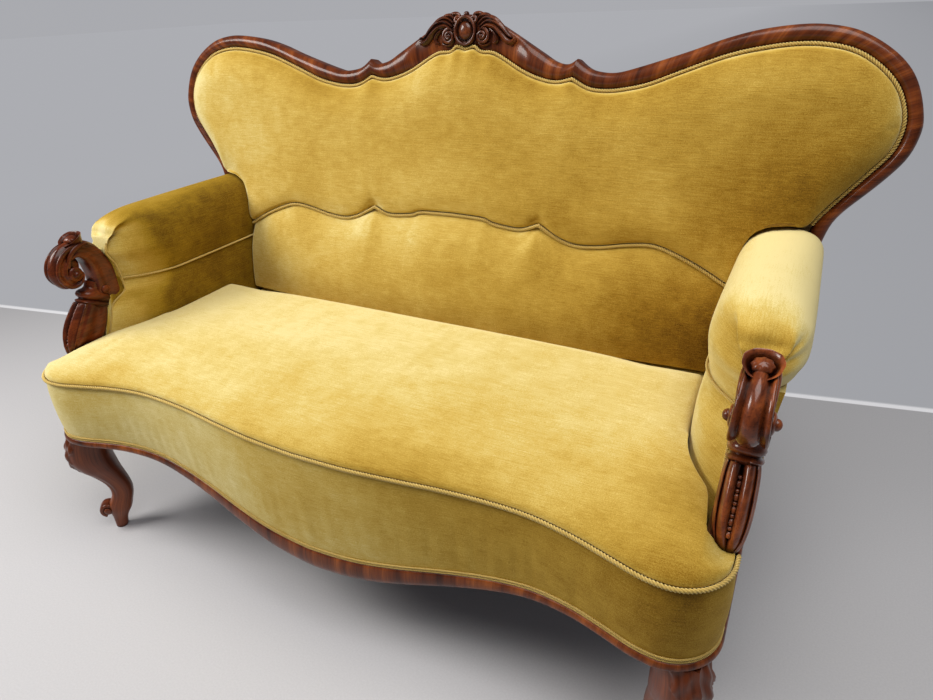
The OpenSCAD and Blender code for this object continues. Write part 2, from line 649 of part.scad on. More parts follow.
// Section points: share across from the outer face, share of the rise, and which side they close from
arm_pad_shares = [
    [0.08, 0.63, 1], [0.01, 0.73, 1], [0.0, 0.83, 1], [0.04, 0.915, 1], [0.17, 0.975, 0], [0.42, 1.0, 0],
    [0.68, 0.985, 0], [0.87, 0.93, -1], [0.96, 0.84, -1], [1.0, 0.72, -1], [0.99, 0.60, -1], [0.955, 0.50, -1],
    [0.955, 0.474, -1], [1.0, 0.37, -1], [1.01, 0.20, -1], [1.0, 0.05, -1], [0.98, -0.19, -1]
];
roof_share = 0.8;
roof_drop = 44;
roof_l = 120;
outer_close = 28;
outer_l = 80;
function pad_x(q, w) =
    arm_out_x - q[0] * arm_w - (q[2] > 0 ? outer_close * closing(w, outer_l) : 0)
        + (q[2] < 0 ? flare_w * closing(w, flare_l) : 0);
function pad_z(q, w) =
    seat_h + q[1] * arm_rise
        - (q[1] > roof_share ? (q[1] - roof_share) / (1 - roof_share) * roof_drop * closing(w, roof_l) : 0);
// The stuffing is open underneath, around the arm rail and behind the inner face
inner_from = 10;
arm_pad_facing = [0, 0, 0, 0, 1, 1, 2, 2, 2, 3, 4, 5, 6, 7, 8, 9, 10];
function inner_return(w) = concat(
    [for (k = [len(arm_pad_shares) - 1 : -1 : inner_from])
        [pad_x(arm_pad_shares[k], w) + arm_pad_t, pad_z(arm_pad_shares[k], w)]],
    [
        [arm_rail_x - gap, arm_rail_z - gap],
        [arm_rail_x - gap, arm_rail_z + arm_rail_h + gap],
        [arm_rail_x + arm_rail_w + gap, arm_rail_z + arm_rail_h + gap],
        [arm_rail_x + arm_rail_w + gap, arm_rail_z + gap]
    ]
);
arm_run = arm_back(seat_h + arm_rise / 2) - arm_front(seat_h + arm_rise / 2);
function arm_pad_ring(v) =
    let (w = v * arm_run, loop = concat([for (q = arm_pad_shares) [pad_x(q, w), pad_z(q, w)]], inner_return(w)))
    [for (p = loop) [p[0], blend(arm_front(p[1]), arm_back(p[1]), v), p[1]]];
module arm_pad(side) color(plush) mirrored(side)
    skin([for (v = arm_stations_shares) arm_pad_ring(v)], arm_pad_facing);

// Thin cord in the crease under the roll of the arm
arm_cord_share = 0.75;
arm_cord_d = arm_cord_share * cord_d;
crease_shares = [0.955, 0.487, -1];
function arm_cord_point(v) =
    let (
        w = v * arm_run,
        z = pad_z(crease_shares, w),
        off = (arm_cord_d / 2 + snug) * sqrt(1 + pow(flare_slope(w), 2))
    )
        [pad_x(crease_shares, w) - off, blend(arm_front(z) + gap, arm_back(z) - gap, v), z];
module arm_piping(side) color(trim) mirrored(side)
    cord([for (v = arm_stations_shares) arm_cord_point(v)], [0, 0, 1], arm_cord_d, 6);

// Outside of the arm: a stretched panel from the side rail up to the roll
outside_shares = [
    [0, 0.0], [0.005, 0.425], [0.01, 0.433], [0.015, 0.49], [0.03, 0.58], [0.045, 0.67],
    [0.06, 0.75], [0.075, 0.80], [0.10, 0.90], [0.125, 1.0]
];
outside_top = arm_rail_z - gap;
outside_foot = leg_h + apron_h + gap;
side_top = seat_h - soft_clear;
function side_front(z) = z < side_top ? ear_y + gap : arm_front(z) + soft_clear;
function outside_ring(v) = [
    for (inner = [0, 1], q = inner == 0 ? outside_shares : reversed(outside_shares))
        let (z = blend(outside_foot, outside_top, q[1]), x = seat_hw + q[0] * arm_w - inner * border_t)
            [x, blend(side_front(z), arm_back(z) - gap, v), z]
];
module outside_arm(side) color(plush) mirrored(side)
    skin([outside_ring(0), outside_ring(0.5), outside_ring(1)], [for (i = [0 : len(outside_shares) - 1]) i]);

// Seat support
spring_spread_share = 0.94;
spring_x = spring_spread_share * 2 * (arm_in_x - spring_d / 2 - gap);
spring_front = front_y + hollow_d + rail_t + batten_w + spring_d / 2 + wire_d;
spring_back = rear_post_y - spring_d / 2 - web_w / 2;
function spring_place(i, n, a, b) = n < 2 ? (a + b) / 2 : blend(a, b, i / (n - 1));
spring_xs = [for (i = [0 : spring_cols - 1]) spring_place(i, spring_cols, -spring_x / 2, spring_x / 2)];
spring_ys = [for (j = [0 : spring_rows - 1]) spring_place(j, spring_rows, spring_front, spring_back)];
curl_rings = 8;
waist_power = 1.5;
function coil(turns) = [
    for (k = [0 : turns * curl_rings])
        let (
            t = k / (turns * curl_rings),
            r = (blend(spring_waist, spring_d, pow(2 * abs(t - 0.5), waist_power)) - wire_d) / 2,
            a = 360 * k / curl_rings
        )
            [r * cos(a), r * sin(a), blend(leg_h + wire_d / 2 + gap, rail_top - wire_d / 2 - gap, t)]
];
module seat_springs() color(steel)
    for (x = spring_xs, y = spring_ys)
        translate([x, y, 0]) cord(coil(spring_turns), [0, 0, 1], wire_d, 4);
web_front = front_y + hollow_d + rail_t + gap;
module seat_webbing() color(jute) {
    for (x = spring_xs)
        translate([x - web_w / 2, web_front, leg_h - web_t])
            cube([web_w, rear_post_y + frame_t / 2 - web_front, web_t]);
    for (y = spring_ys)
        translate([-seat_hw + rail_t / 2, y - web_w / 2, leg_h - 2 * web_t])
            cube([seat_w - rail_t, web_w, web_t]);
}
dust_t = 1;
dust_y = ear_y + gimp_w * 3;
module dust_cover() color(dust_cloth)
    translate([-seat_hw + rail_t / 2, dust_y, leg_h - 2 * web_t - dust_t])
        cube([seat_w - rail_t, rear_post_y - dust_y - gap, dust_t]);
hessian_t = 1.5;
hessian_x = seat_hw - rail_t - gap;
hessian_outline = both_sides(concat(
    shifted([for (p = outline_half) if (p[0] < corner_x) p], -rail_t / 2),
    [[corner_x, front_y + rail_t / 2], [hessian_x, corner_y], [hessian_x, rear_post_y + frame_t / 4]]
));
module spring_hessian() color(jute)
    translate([0, 0, rail_top]) linear_extrude(hessian_t) polygon(hessian_outline);

// Seat cushion: crowned, rolled over the front edge, with ears in front of the arm posts
edge_z = seat_h + cord_d / 2 + gap;
lip_t = 2;
stuffing_clear = 6;
cushion_foot = rail_top + hessian_t + gap;
under_edge = shifted(outline_half, -border_t - stuffing_clear);
function under_y(x) = lookup(x, under_edge);
cushion_back = back_y - frame_t / 2;
tuck_y = back_y - lumbar_t;
tuck_drop = 7.5;
tuck_z = seat_h - tuck_drop;
tuck_l = 46;
roll_share = 0.52;
crown_l = 260;
ear_share = 0.62;
ear_x = post_x - ear_share * arm_post_w;
// The ears fall away under the carved drops of the arm posts
ear_fall_l = 62;
function ear_fall(x, y) = 1 - ease((x - ear_x) / (ear_x / 20)) * (1 - clamp01((ear_y - y) / ear_fall_l));
function crown(x, y) =
    let (
        near = min(y - edge_y(x), seat_hw - x),
        roll = seat_rise * roll_share * round_off(near / roll_r),
        dome = seat_rise * (1 - roll_share) * ease(min(y - edge_y(x), 2 * (seat_hw - x)) / crown_l)
    )
        blend(edge_z + lip_t + (roll + dome) * ear_fall(x, y), tuck_z, ease((y - tuck_y + tuck_l) / tuck_l));
arm_clear = 7.5;
flare_clear = 11.4;
seat_line_share = 0.1;
cushion_x = arm_in_x - arm_clear;
under_x = seat_hw - border_t - stuffing_clear;
arm_seat_front = arm_front(seat_h + seat_line_share * arm_rise);
full_shares = [0, 0.1, 0.2, 0.3, 0.4, 0.5, 0.6, 0.7, 0.8, 0.9, 0.97, 1.0];
flare_shares = [0.01, 0.05, 0.13, 0.25, 0.42, 0.64, 0.86];
ear_shares = [0.02, 0.3, 0.55, 0.78, 0.92, 0.98];
lip_shares = [0.12, 0.5, 0.9];
// Each column: x, its rear end, and whether it reaches down behind the border
cushion_columns = concat(
    [for (q = full_shares) [q * cushion_x, cushion_back, 1]],
    [for (q = flare_shares) [blend(arm_in_x, ear_x, q),
        arm_seat_front + flare_l * (1 - pow(q, 1 / flare_power)) - flare_clear, 1]],
    [for (q = ear_shares) [blend(ear_x, under_x, q), ear_y, 1]],
    [for (q = lip_shares) [blend(under_x, seat_hw, q), ear_y, 0]]
);
depth_shares = [0, 0.012, 0.03, 0.06, 0.10, 0.17, 0.28, 0.42, 0.58, 0.72, 0.83, 0.9, 1.0];
function cushion_under(x, lip, rear, deep) = deep
    ? [[x, rear, cushion_foot], [x, under_y(x), cushion_foot], [x, under_y(x), edge_z], [x, lip, edge_z]]
    : [for (q = [1, 2 / 3, 1 / 3, 0]) [x, blend(lip, rear, q), edge_z - (q > 0 ? gap : 0)]];
function cushion_ring(col) =
    let (x = col[0], lip = edge_y(x))
        concat(
            [for (q = depth_shares) let (y = blend(lip, col[1], q)) [x, y, crown(x, y)]],
            cushion_under(x, lip, col[1], col[2] > 0)
        );
function flip_rings(rings) = [for (r = rings) flip_x(r)];
module both_rings(rings) skin(concat(reversed(flip_rings(tail_of(rings))), rings));
module seat_cushion() color(plush) both_rings([for (c = cushion_columns) cushion_ring(c)]);

// Border between the gimp and the welt, padded on the face of the front rail
border_top = seat_h - cord_d / 2 - gap;
border_bulge = 5;
border_shares = [[0.0, 0.0], [0.0, 0.10], [0.7, 0.28], [1.0, 0.55], [0.8, 0.80], [0.1, 1.0]];
module seat_border() color(plush)
    skin(front_rings(outline, function (x) let (foot = gimp_z(x) + gap) concat(
        [[-border_t, foot], [-border_t, border_top]],
        reversed([for (q = border_shares) [q[0] * border_bulge, blend(foot, border_top, q[1])]])
    )));
module seat_welt() color(trim)
    cord([for (p = shifted(outline, snug)) [p[0], p[1], seat_h]], [0, 0, 1], cord_d, 6);
module rail_gimp() color(trim)
    skin(front_rings(outline, function (x) let (foot = gimp_z(x) + gap) [
        [gap, foot], [gap + gimp_t, foot + gimp_w / 4],
        [gap + gimp_t, foot + gimp_w - gimp_w / 4], [gap, foot + gimp_w]
    ]));

// Back panel: webbing, hessian and the two pads
function cut_off(p) = [for (i = [0 : len(p) - 1]) i < len(p) - 1 ? p[i] : [p[i][0], base_s]];
panel_inset = 2;
panel = both_sides(cut_off(shifted(wood_line, panel_inset)));
hessian_back_t = 1;
module back_hessian() color(jute) on_back(0, hessian_back_t) polygon(panel);
web_rows_shares = [0.16, 0.50, 0.68];
web_cols_shares = [0.12, 0.36, 0.60];
module back_webbing() color(jute) on_back(-web_t, 0) intersection() {
    polygon(panel);
    union() {
        for (q = web_rows_shares) translate([-half_w, q * back_rise]) square([overall_w, web_w]);
        for (q = web_cols_shares, side = [-1, 1])
            translate([side * q * half_w - web_w / 2, stile_foot]) square([web_w, back_rise]);
    }
}
outside_inset = 10;
module outside_back() color(plush) on_back(-frame_t - outside_back_t, -frame_t)
    polygon(both_sides(cut_off(shifted(frame_half, outside_inset))));

seam_shares = [[0, 1.0], [0.13, 0.99], [0.17, 0.957], [0.26, 0.934], [0.30, 0.95], [0.344, 0.992]];
seam_outer_shares = [
    [0.344, 0.992], [0.389, 0.934], [0.433, 0.883], [0.49, 0.852], [0.57, 0.867], [0.667, 0.914],
    [0.746, 0.930], [0.817, 0.883], [0.905, 0.793], [0.984, 0.690], [1.0, 0.675]
];
seam_half = concat(
    smooth(scaled(seam_shares, arm_in_x, seam_h), 2),
    tail_of(smooth(scaled(seam_outer_shares, arm_in_x, seam_h), 2))
);
function seam_s(x) = lookup(abs(x), seam_half);
seam_lip_share = 0.9;
seam_lip = seam_lip_share * cord_d;
pad_base = hessian_back_t + gap;

lumbar_x = arm_in_x - soft_clear;
lumbar_taper = 40;
lumbar_front_shares = [
    [0, 0.92], [0.06, 0.99], [0.2, 1.0], [0.4, 0.97], [0.6, 0.86], [0.78, 0.62],
    [0.9, 0.34], [0.97, 0.12], [1.0, 0.0]
];
function lumbar_ring(x) =
    let (
        full = lumbar_t - lumbar_taper * pow(x / lumbar_x, 2),
        foot = slope(tuck_z) + soft_clear,
        top = seam_s(x) - seam_lip
    )
        concat(
            [for (q = lumbar_front_shares) back_pt(x, blend(foot, top, q[0]), blend(seam_t, full, q[1]))],
            [back_pt(x, top, pad_base), back_pt(x, foot, pad_base)]
        );
pad_cols_shares = [
    0, 0.025, 0.045, 0.11, 0.184, 0.243, 0.283, 0.315, 0.347, 0.38, 0.42, 0.472, 0.528, 0.59, 0.65
];
lumbar_columns = [for (q = pad_cols_shares) q * half_w, lumbar_x];
module back_lumbar_pad() color(plush) both_rings([for (x = lumbar_columns) lumbar_ring(x)]);

// Upper pad: between the seam, the tops of the arms and the show-wood
pad_inset = cord_d + soft_clear;
pad_edge_t = 5;
pad_tip = 4;
upper_table = shifted(concat(crest_in, tail_of(shoulder_in)), pad_inset);
lower_table = reversed(shifted([for (p = stile_in) if (p[1] > seam_h) p], pad_inset));
far = upper_table[len(upper_table) - 1];
pad_far = far[0];
arm_roof_share = 0.7;
arm_roof = reversed([
    for (q = arm_pad_shares)
        if (q[1] > arm_roof_share) [arm_out_x - q[0] * arm_w, slope(seat_h + q[1] * arm_rise)]
]);
roof_gap = 6;
function pad_top(x) = max(lookup(x, upper_table), far[1] + pad_tip);
function pad_foot(x) =
    x < arm_in_x ? seam_s(x) + seam_lip
    : min(
        max(lookup(x + roof_gap / 2, arm_roof) + roof_gap, x > lower_table[0][0] ? lookup(x, lower_table) : 0),
        far[1] - pad_tip
    );
function from_wood(p) = min([
    for (i = [0 : len(wood_line) - 2])
        let (a = wood_line[i], e = wood_line[i + 1] - a)
            norm(p - a - e * clamp01(((p - a) * e) / (e * e)))
]);
pad_roll = 64;
pad_power = 1.6;
function pad_depth(x, s) =
    let (
        rise = clamp01((s - seam_s(x)) / (back_rise / 2)),
        full = blend(upper_t, shoulder_t, 1 - pow(1 - rise, pad_power)),
        seam = round_off((s - seam_s(x) - seam_lip) / (pad_roll / 2))
    )
        blend(pad_edge_t, blend(seam_t, full, seam), round_off((from_wood([x, s]) - pad_inset) / pad_roll));
row_shares = [0, 0.03, 0.10, 0.22, 0.38, 0.55, 0.72, 0.86, 0.95, 1.0];
function pad_ring(x) =
    let (foot = pad_foot(x), top = pad_top(x))
        concat(
            [for (q = row_shares) let (s = blend(foot, top, q)) back_pt(x, s, pad_depth(x, s))],
            [back_pt(x, top, pad_base), back_pt(x, foot, pad_base)]
        );
pad_side_shares = [0.05, 0.20, 0.35, 0.50, 0.65, 0.78, 0.88, 0.95, 1.0];
pad_columns = concat(
    [for (q = pad_cols_shares) q * half_w],
    [arm_in_x - gap],
    [for (p = arm_roof) if (p[0] < post_x) p[0] + gap],
    [for (q = pad_side_shares) blend(post_x, pad_far, q)]
);
module back_upper_pad() color(plush) both_rings([for (x = pad_columns) pad_ring(x)]);

piping_foot = slope(arm_h) - roof_gap;
piping_half = [for (p = wood_line) if (p[1] > piping_foot) p];
piping_inset = cord_d / 2 + 4 * gap;
module back_piping() color(trim)
    cord([for (p = both_sides(shifted(piping_half, piping_inset))) back_pt(p[0], p[1], pad_edge_t)],
        [0, -1, 0], cord_d, 5);
lumbar_line = both_sides([for (q = seam_half) if (q[0] < lumbar_x) q]);
module lumbar_piping() color(trim)
    cord([for (p = lumbar_line) back_pt(p[0], p[1], seam_t - gimp_t)], [0, -1, 0], cord_d - gap, 5);

front_rail();
side_rail(-1);  // side_rail_left
side_rail(1);  // side_rail_right
back_seat_rail();
front_batten();
corner_block_front(-1);  // corner_block_front_left
corner_block_front(1);  // corner_block_front_right
corner_block_rear(-1);  // corner_block_rear_left
corner_block_rear(1);  // corner_block_rear_right
front_leg(-1);  // front_leg_left
front_leg(1);  // front_leg_right
rear_leg(-1);  // rear_leg_left
rear_leg(1);  // rear_leg_right
crest_rail();
crest_carving();
shoulder_rail(-1);  // shoulder_rail_left
shoulder_rail(1);  // shoulder_rail_right
back_stile(-1);  // back_stile_left
back_stile(1);  // back_stile_right
back_base_rail();
back_mid_rail();
arm_post(-1);  // arm_post_left
arm_post(1);  // arm_post_right
arm_rail(-1);  // arm_rail_left
arm_rail(1);  // arm_rail_right
arm_tack_rail(-1);  // arm_tack_rail_left
arm_tack_rail(1);  // arm_tack_rail_right
seat_webbing();
seat_springs();
spring_hessian();
dust_cover();
seat_cushion();
seat_border();
seat_welt();
rail_gimp();
back_webbing();
back_hessian();
back_upper_pad();
back_lumbar_pad();
back_piping();
lumbar_piping();
arm_pad(-1);  // arm_pad_left
arm_pad(1);  // arm_pad_right
arm_piping(-1);  // arm_piping_left
arm_piping(1);  // arm_piping_right
outside_arm(-1);  // outside_arm_left
outside_arm(1);  // outside_arm_right
outside_back();
block_screws();
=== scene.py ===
import math

import bmesh
import bpy
import numpy as np
from mathutils import Matrix, Vector


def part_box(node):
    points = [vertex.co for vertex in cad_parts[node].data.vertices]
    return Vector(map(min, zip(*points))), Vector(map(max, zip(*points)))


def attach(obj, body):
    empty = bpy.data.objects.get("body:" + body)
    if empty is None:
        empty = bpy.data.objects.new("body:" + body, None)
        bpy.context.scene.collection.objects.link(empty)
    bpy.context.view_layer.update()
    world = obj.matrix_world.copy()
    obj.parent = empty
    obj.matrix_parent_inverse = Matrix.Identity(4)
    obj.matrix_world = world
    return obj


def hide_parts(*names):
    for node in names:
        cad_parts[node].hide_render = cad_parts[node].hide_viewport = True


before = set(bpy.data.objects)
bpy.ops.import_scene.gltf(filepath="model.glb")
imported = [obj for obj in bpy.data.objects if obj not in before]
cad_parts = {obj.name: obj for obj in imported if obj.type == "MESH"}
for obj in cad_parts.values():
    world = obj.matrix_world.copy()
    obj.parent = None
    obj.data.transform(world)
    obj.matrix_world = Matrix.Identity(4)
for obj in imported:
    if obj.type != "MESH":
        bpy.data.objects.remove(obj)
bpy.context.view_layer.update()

# Studio: a pale floor that meets a grey wall at a thin skirting line, a window lamp at the left and a
# large soft lamp overhead. The camera stands before the right arm at chest height and looks down.
scene = bpy.context.scene
scene.view_settings.view_transform = "Standard"
camera_at = Vector((0.7396, -1.0746, 1.1697))
camera_yaw, camera_pitch, camera_roll = math.radians(28.52), math.radians(28.13), math.radians(-2.58)
camera_lens_px, photo_width_px, sensor_mm = 660, 933, 36
level = Vector((math.cos(camera_yaw), math.sin(camera_yaw), 0))
ahead = Vector((-level.y * math.cos(camera_pitch), level.x * math.cos(camera_pitch), -math.sin(camera_pitch)))
upright = level.cross(ahead)
right = math.cos(camera_roll) * level + math.sin(camera_roll) * upright
up = math.cos(camera_roll) * upright - math.sin(camera_roll) * level
camera = bpy.data.objects.new("camera", bpy.data.cameras.new("camera"))
camera.data.sensor_width = sensor_mm
camera.data.lens = sensor_mm * camera_lens_px / photo_width_px
camera.matrix_world = Matrix.Translation(camera_at) @ Matrix((right, up, -ahead)).transposed().to_4x4()
scene.collection.objects.link(camera)
scene.camera = camera


def new_material(name):
    """A material with its node tree and its Principled BSDF."""
    material = bpy.data.materials.new(name)
    material.use_nodes = True
    return material, material.node_tree, material.node_tree.nodes["Principled BSDF"]


def feed(tree, node, inputs):
    """Sets each named input of a node to a value, or links it to the output that is given."""
    for key, value in inputs.items():
        if isinstance(value, bpy.types.NodeSocket):
            tree.links.new(value, node.inputs[key])
        else:
            node.inputs[key].default_value = value


def add_node(tree, kind, inputs=None, **settings):
    node = tree.nodes.new(kind)
    for key, value in settings.items():
        setattr(node, key, value)
    feed(tree, node, inputs or {})
    return node


def calc(tree, operation, *values):
    """The result of a Math node for numbers or outputs."""
    return add_node(tree, "ShaderNodeMath", dict(enumerate(values)), operation=operation).outputs[0]


def graded(tree, value, start, stop, low=0.0, high=1.0, **settings):
    """Runs from low to high while the value runs from start to stop."""
    inputs = {"Value": value, "From Min": start, "From Max": stop, "To Min": low, "To Max": high}
    return add_node(tree, "ShaderNodeMapRange", inputs, **settings).outputs["Result"]


def mix_colour(tree, factor, first, second, **settings):
    inputs = {"Factor": factor, "A": first, "B": second}
    return add_node(tree, "ShaderNodeMix", inputs, data_type="RGBA", **settings).outputs["Result"]


def ramp(tree, source, stops):
    """A colour ramp through (position, colour) stops, fed by a socket; one number stands for a grey."""
    node = add_node(tree, "ShaderNodeValToRGB", {"Fac": source})
    elements = node.color_ramp.elements
    while len(elements) < len(stops):
        elements.new(0.5)
    for element, (position, colour) in zip(elements, stops):
        element.position = position
        element.color = (*colour, 1) if len(colour) == 3 else colour * 3 + (1,)
    return node.outputs["Color"]


def noise_of(tree, vector, size, detail, rough=0.5, stretch=None):
    """Noise, with its pattern drawn out by three scales where they are given."""
    if stretch:
        vector = add_node(tree, "ShaderNodeMapping", {"Vector": vector, "Scale": stretch}).outputs["Vector"]
    inputs = {"Vector": vector, "Scale": size, "Detail": detail, "Roughness": rough}
    return add_node(tree, "ShaderNodeTexNoise", inputs).outputs["Fac"]


def embossed(tree, shader, height, strength, distance):
    relief = add_node(tree, "ShaderNodeBump", {"Strength": strength, "Distance": distance, "Height": height})
    feed(tree, shader, {"Normal": relief.outputs["Normal"]})


floor_size, floor_cuts = 90.0, 8
wall_line_y, wall_line_slope, wall_edge = 0.846, 0.1827, 0.012
skirting_start, skirting_stop = wall_line_y - 0.020, wall_line_y - 0.016
fade_left, fade_right = -4.0, 4.0
wall_grey, far_grey, skirting_white = (0.40, 0.405, 0.43, 1), (0.29, 0.295, 0.315, 1), (0.34, 0.34, 0.35, 1)
floor_material, tree, shader = new_material("studio_floor")
place = add_node(tree, "ShaderNodeTexCoord").outputs["Object"]
axes = add_node(tree, "ShaderNodeSeparateXYZ", {0: place})
slant = calc(tree, "MULTIPLY_ADD", axes.outputs["X"], -wall_line_slope, axes.outputs["Y"])
beyond = graded(tree, slant, wall_line_y, wall_line_y + wall_edge)
floor_greys = [(0.3, (0.56, 0.555, 0.57)), (0.7, (0.60, 0.595, 0.61))]
grain = ramp(tree, noise_of(tree, place, 260.0, 3.0), floor_greys)
# Beyond the line the floor reads as the wall behind: it glows grey, and painted light makes it paler to the
# left
wall = mix_colour(tree, graded(tree, axes.outputs["X"], fade_left, fade_right), wall_grey, far_grey)
skirting = mix_colour(tree, graded(tree, slant, skirting_start, skirting_stop), (0, 0, 0, 1), skirting_white)
feed(tree, shader, {
    "Base Color": mix_colour(tree, beyond, grain, (0.02, 0.02, 0.02, 1)), "Roughness": 0.75,
    "Emission Color": mix_colour(tree, beyond, skirting, wall), "Emission Strength": 1.0,
})
bpy.ops.mesh.primitive_grid_add(x_subdivisions=floor_cuts, y_subdivisions=floor_cuts, size=floor_size)
floor = bpy.context.object
floor.name = "studio_floor"
floor.data.materials.append(floor_material)

scene.world = bpy.data.worlds.new("studio")
scene.world.use_nodes = True
tree = scene.world.node_tree
sky = tree.nodes["Background"]
feed(tree, sky, {"Color": (0.86, 0.90, 1.0, 1), "Strength": 0.13})
# Above the floor's horizon the camera sees the same grey wall
backdrop = add_node(tree, "ShaderNodeBackground", {"Color": wall_grey})
seen = add_node(tree, "ShaderNodeMixShader", {
    "Fac": add_node(tree, "ShaderNodeLightPath").outputs["Is Camera Ray"],
    1: sky.outputs["Background"], 2: backdrop.outputs["Background"],
})
feed(tree, tree.nodes["World Output"], {"Surface": seen.outputs["Shader"]})


def soft_lamp(name, at, aim, size, watts, colour):
    lamp = bpy.data.lights.new(name, "AREA")
    lamp.size, lamp.energy, lamp.color = size, watts, colour
    holder = bpy.data.objects.new(name, lamp)
    holder.location = at
    holder.rotation_euler = (Vector(aim) - Vector(at)).to_track_quat("-Z", "Y").to_euler()
    scene.collection.objects.link(holder)


soft_lamp("window_left", (-2.0, -1.3, 2.3), (0.1, 0.0, 0.5), 1.2, 66, (1.0, 0.97, 0.93))
soft_lamp("ceiling", (0.9, -0.5, 3.2), (0.5, -0.1, 0.4), 2.2, 72, (1.0, 0.98, 0.96))

# Polished mahogany: the frame's show-wood, French polished over dark red-brown timber.
# The back frame and rail wear veneer laid across their width, the legs and posts are carved from the solid.


def shader_group(name, inputs, outputs):
    """A node group with named float, colour and vector sockets."""
    group = bpy.data.node_groups.new(name, "ShaderNodeTree")
    kinds = {"f": "NodeSocketFloat", "c": "NodeSocketColor", "v": "NodeSocketVector"}
    for in_out, rows in (("INPUT", inputs), ("OUTPUT", outputs)):
        for label, kind in rows:
            group.interface.new_socket(name=label, in_out=in_out, socket_type=kinds[kind])
    return group, group.nodes.new("NodeGroupInput"), group.nodes.new("NodeGroupOutput")


wood_group, given, result = shader_group(
    "wood_figure", [("Vector", "v"), ("Light", "c"), ("Middle", "c"), ("Dark", "c"), ("Contrast", "f")],
    [("Color", "c"), ("Roughness", "f"), ("Height", "f")],
)
# The first axis of the vector runs across the grain, the second along it
tree, across = wood_group, given.outputs["Vector"]
figure = noise_of(tree, across, 46.0, 4.0, 0.6, (1.0, 0.07, 1.0))
pores = noise_of(tree, across, 420.0, 2.0, stretch=(1.0, 0.03, 1.0))
cloud = noise_of(tree, across, 7.0, 2.0, stretch=(1.0, 0.5, 1.0))
mixed = calc(tree, "ADD", calc(tree, "MULTIPLY", figure, 0.62), calc(tree, "MULTIPLY", cloud, 0.38))
swing = calc(tree, "MULTIPLY", calc(tree, "SUBTRACT", mixed, 0.5), given.outputs["Contrast"])
shade = calc(tree, "MULTIPLY", graded(tree, swing, -0.16, 0.16), 2.0)
low = mix_colour(tree, shade, given.outputs["Dark"], given.outputs["Middle"])
high = mix_colour(tree, calc(tree, "SUBTRACT", shade, 1.0), low, given.outputs["Light"])
dark_pores = ramp(tree, pores, [(0.36, (0.35,)), (0.5, (1.0,))])
feed(tree, result, {
    "Color": mix_colour(tree, 0.5, high, dark_pores, blend_type="MULTIPLY"),
    "Roughness": calc(tree, "MULTIPLY_ADD", pores, 0.22, 0.22), "Height": pores,
})


def wood_material(
    name, colours, coordinate, contrast=1.0, turned=(0, 0, 0), hollow_shade=0.0, coat=0.22, shine=0.22,
):
    """Polished wood on UV (first axis across the grain) or on Object coordinates, with painted shade
    darkening its hollows.
    """
    material, tree, shader = new_material(name)
    source = add_node(tree, "ShaderNodeTexCoord").outputs[coordinate]
    turn = add_node(tree, "ShaderNodeMapping", {"Vector": source, "Rotation": turned})
    inputs = {key: (*colour, 1) for key, colour in zip(("Light", "Middle", "Dark"), colours)}
    inputs.update(Vector=turn.outputs["Vector"], Contrast=contrast)
    figure = add_node(tree, "ShaderNodeGroup", inputs, node_tree=wood_group)
    colour = figure.outputs["Color"]
    if hollow_shade:
        # Painted shade: ambient occlusion darkens the colour in the hollows, where shade falls
        hollow = add_node(tree, "ShaderNodeAmbientOcclusion", {"Distance": 0.016}, samples=8)
        occlusion_shade = ramp(tree, hollow.outputs["AO"], [(0.35, (0.10, 0.07, 0.06)), (0.85, (1, 1, 1))])
        colour = mix_colour(tree, hollow_shade, colour, occlusion_shade, blend_type="MULTIPLY")
    feed(tree, shader, {
        "Base Color": colour, "Roughness": figure.outputs["Roughness"], "Specular IOR Level": shine,
        "Coat Weight": coat, "Coat Roughness": 0.09,
    })
    embossed(tree, shader, figure.outputs["Height"], 0.12, 0.0004)
    return material


red_mahogany = ((0.30, 0.080, 0.015), (0.145, 0.031, 0.006), (0.050, 0.010, 0.003))
dark_mahogany = ((0.34, 0.084, 0.018), (0.16, 0.034, 0.008), (0.048, 0.010, 0.004))
low_mahogany = ((0.20, 0.050, 0.011), (0.090, 0.020, 0.005), (0.030, 0.007, 0.003))
# Painted shade: a darker copy of the carved mahogany for the left post, whose faces towards the camera lie in
# shadow
painted_shade_mahogany = ((0.215, 0.046, 0.010), (0.102, 0.019, 0.005), (0.030, 0.006, 0.003))
veneer = wood_material("veneer_across", red_mahogany, "UV", contrast=1.15)
rail_veneer = wood_material("veneer_rail", red_mahogany, "UV", contrast=1.15, coat=0.06)
solid_mahogany = wood_material("mahogany_solid", dark_mahogany, "UV", contrast=0.7, hollow_shade=0.9)
crest_mahogany = wood_material("mahogany_crest", low_mahogany, "Object", hollow_shade=1.0, coat=0.5)
carved_mahogany = wood_material("mahogany_carved", dark_mahogany, "Object", hollow_shade=1.0, coat=0.45)
shaded_mahogany = wood_material(
    "mahogany_carved_left_painted_shade", painted_shade_mahogany, "Object", hollow_shade=1.0, coat=0.28, shine=0.14
)


def spline(points, n):
    """Catmull-Rom curve through points, n steps a span."""
    p = np.asarray(points, float)
    out = []
    for i in range(len(p) - 1):
        a, b, c, d = p[max(i - 1, 0)], p[i], p[i + 1], p[min(i + 2, len(p) - 1)]
        for t in np.arange(n) / n:
            bent = (2 * a - 5 * b + 4 * c - d) * t**2 + (3 * b - a - 3 * c + d) * t**3
            out.append(0.5 * (2 * b + (c - a) * t + bent))
    return np.array(out + [p[-1]])


def running(p):
    """Length of a line up to each of its points."""
    return np.concatenate([[0], np.cumsum(np.linalg.norm(np.diff(p, axis=0), axis=1))])


def resample(points, n):
    """n + 1 points at even distances along a line."""
    p = np.asarray(points, float)
    s = running(p)
    at = np.linspace(0, s[-1], n + 1)
    return np.stack([np.interp(at, s, p[:, k]) for k in range(p.shape[1])], axis=1)


def blend(a, b, t):
    return a + (b - a) * t


def ease(t):
    u = np.clip(t, 0, 1)
    return u * u * (3 - 2 * u)


def round_off(t):
    return np.sqrt(np.maximum(0, 1 - (1 - np.clip(t, 0, 1)) ** 2))


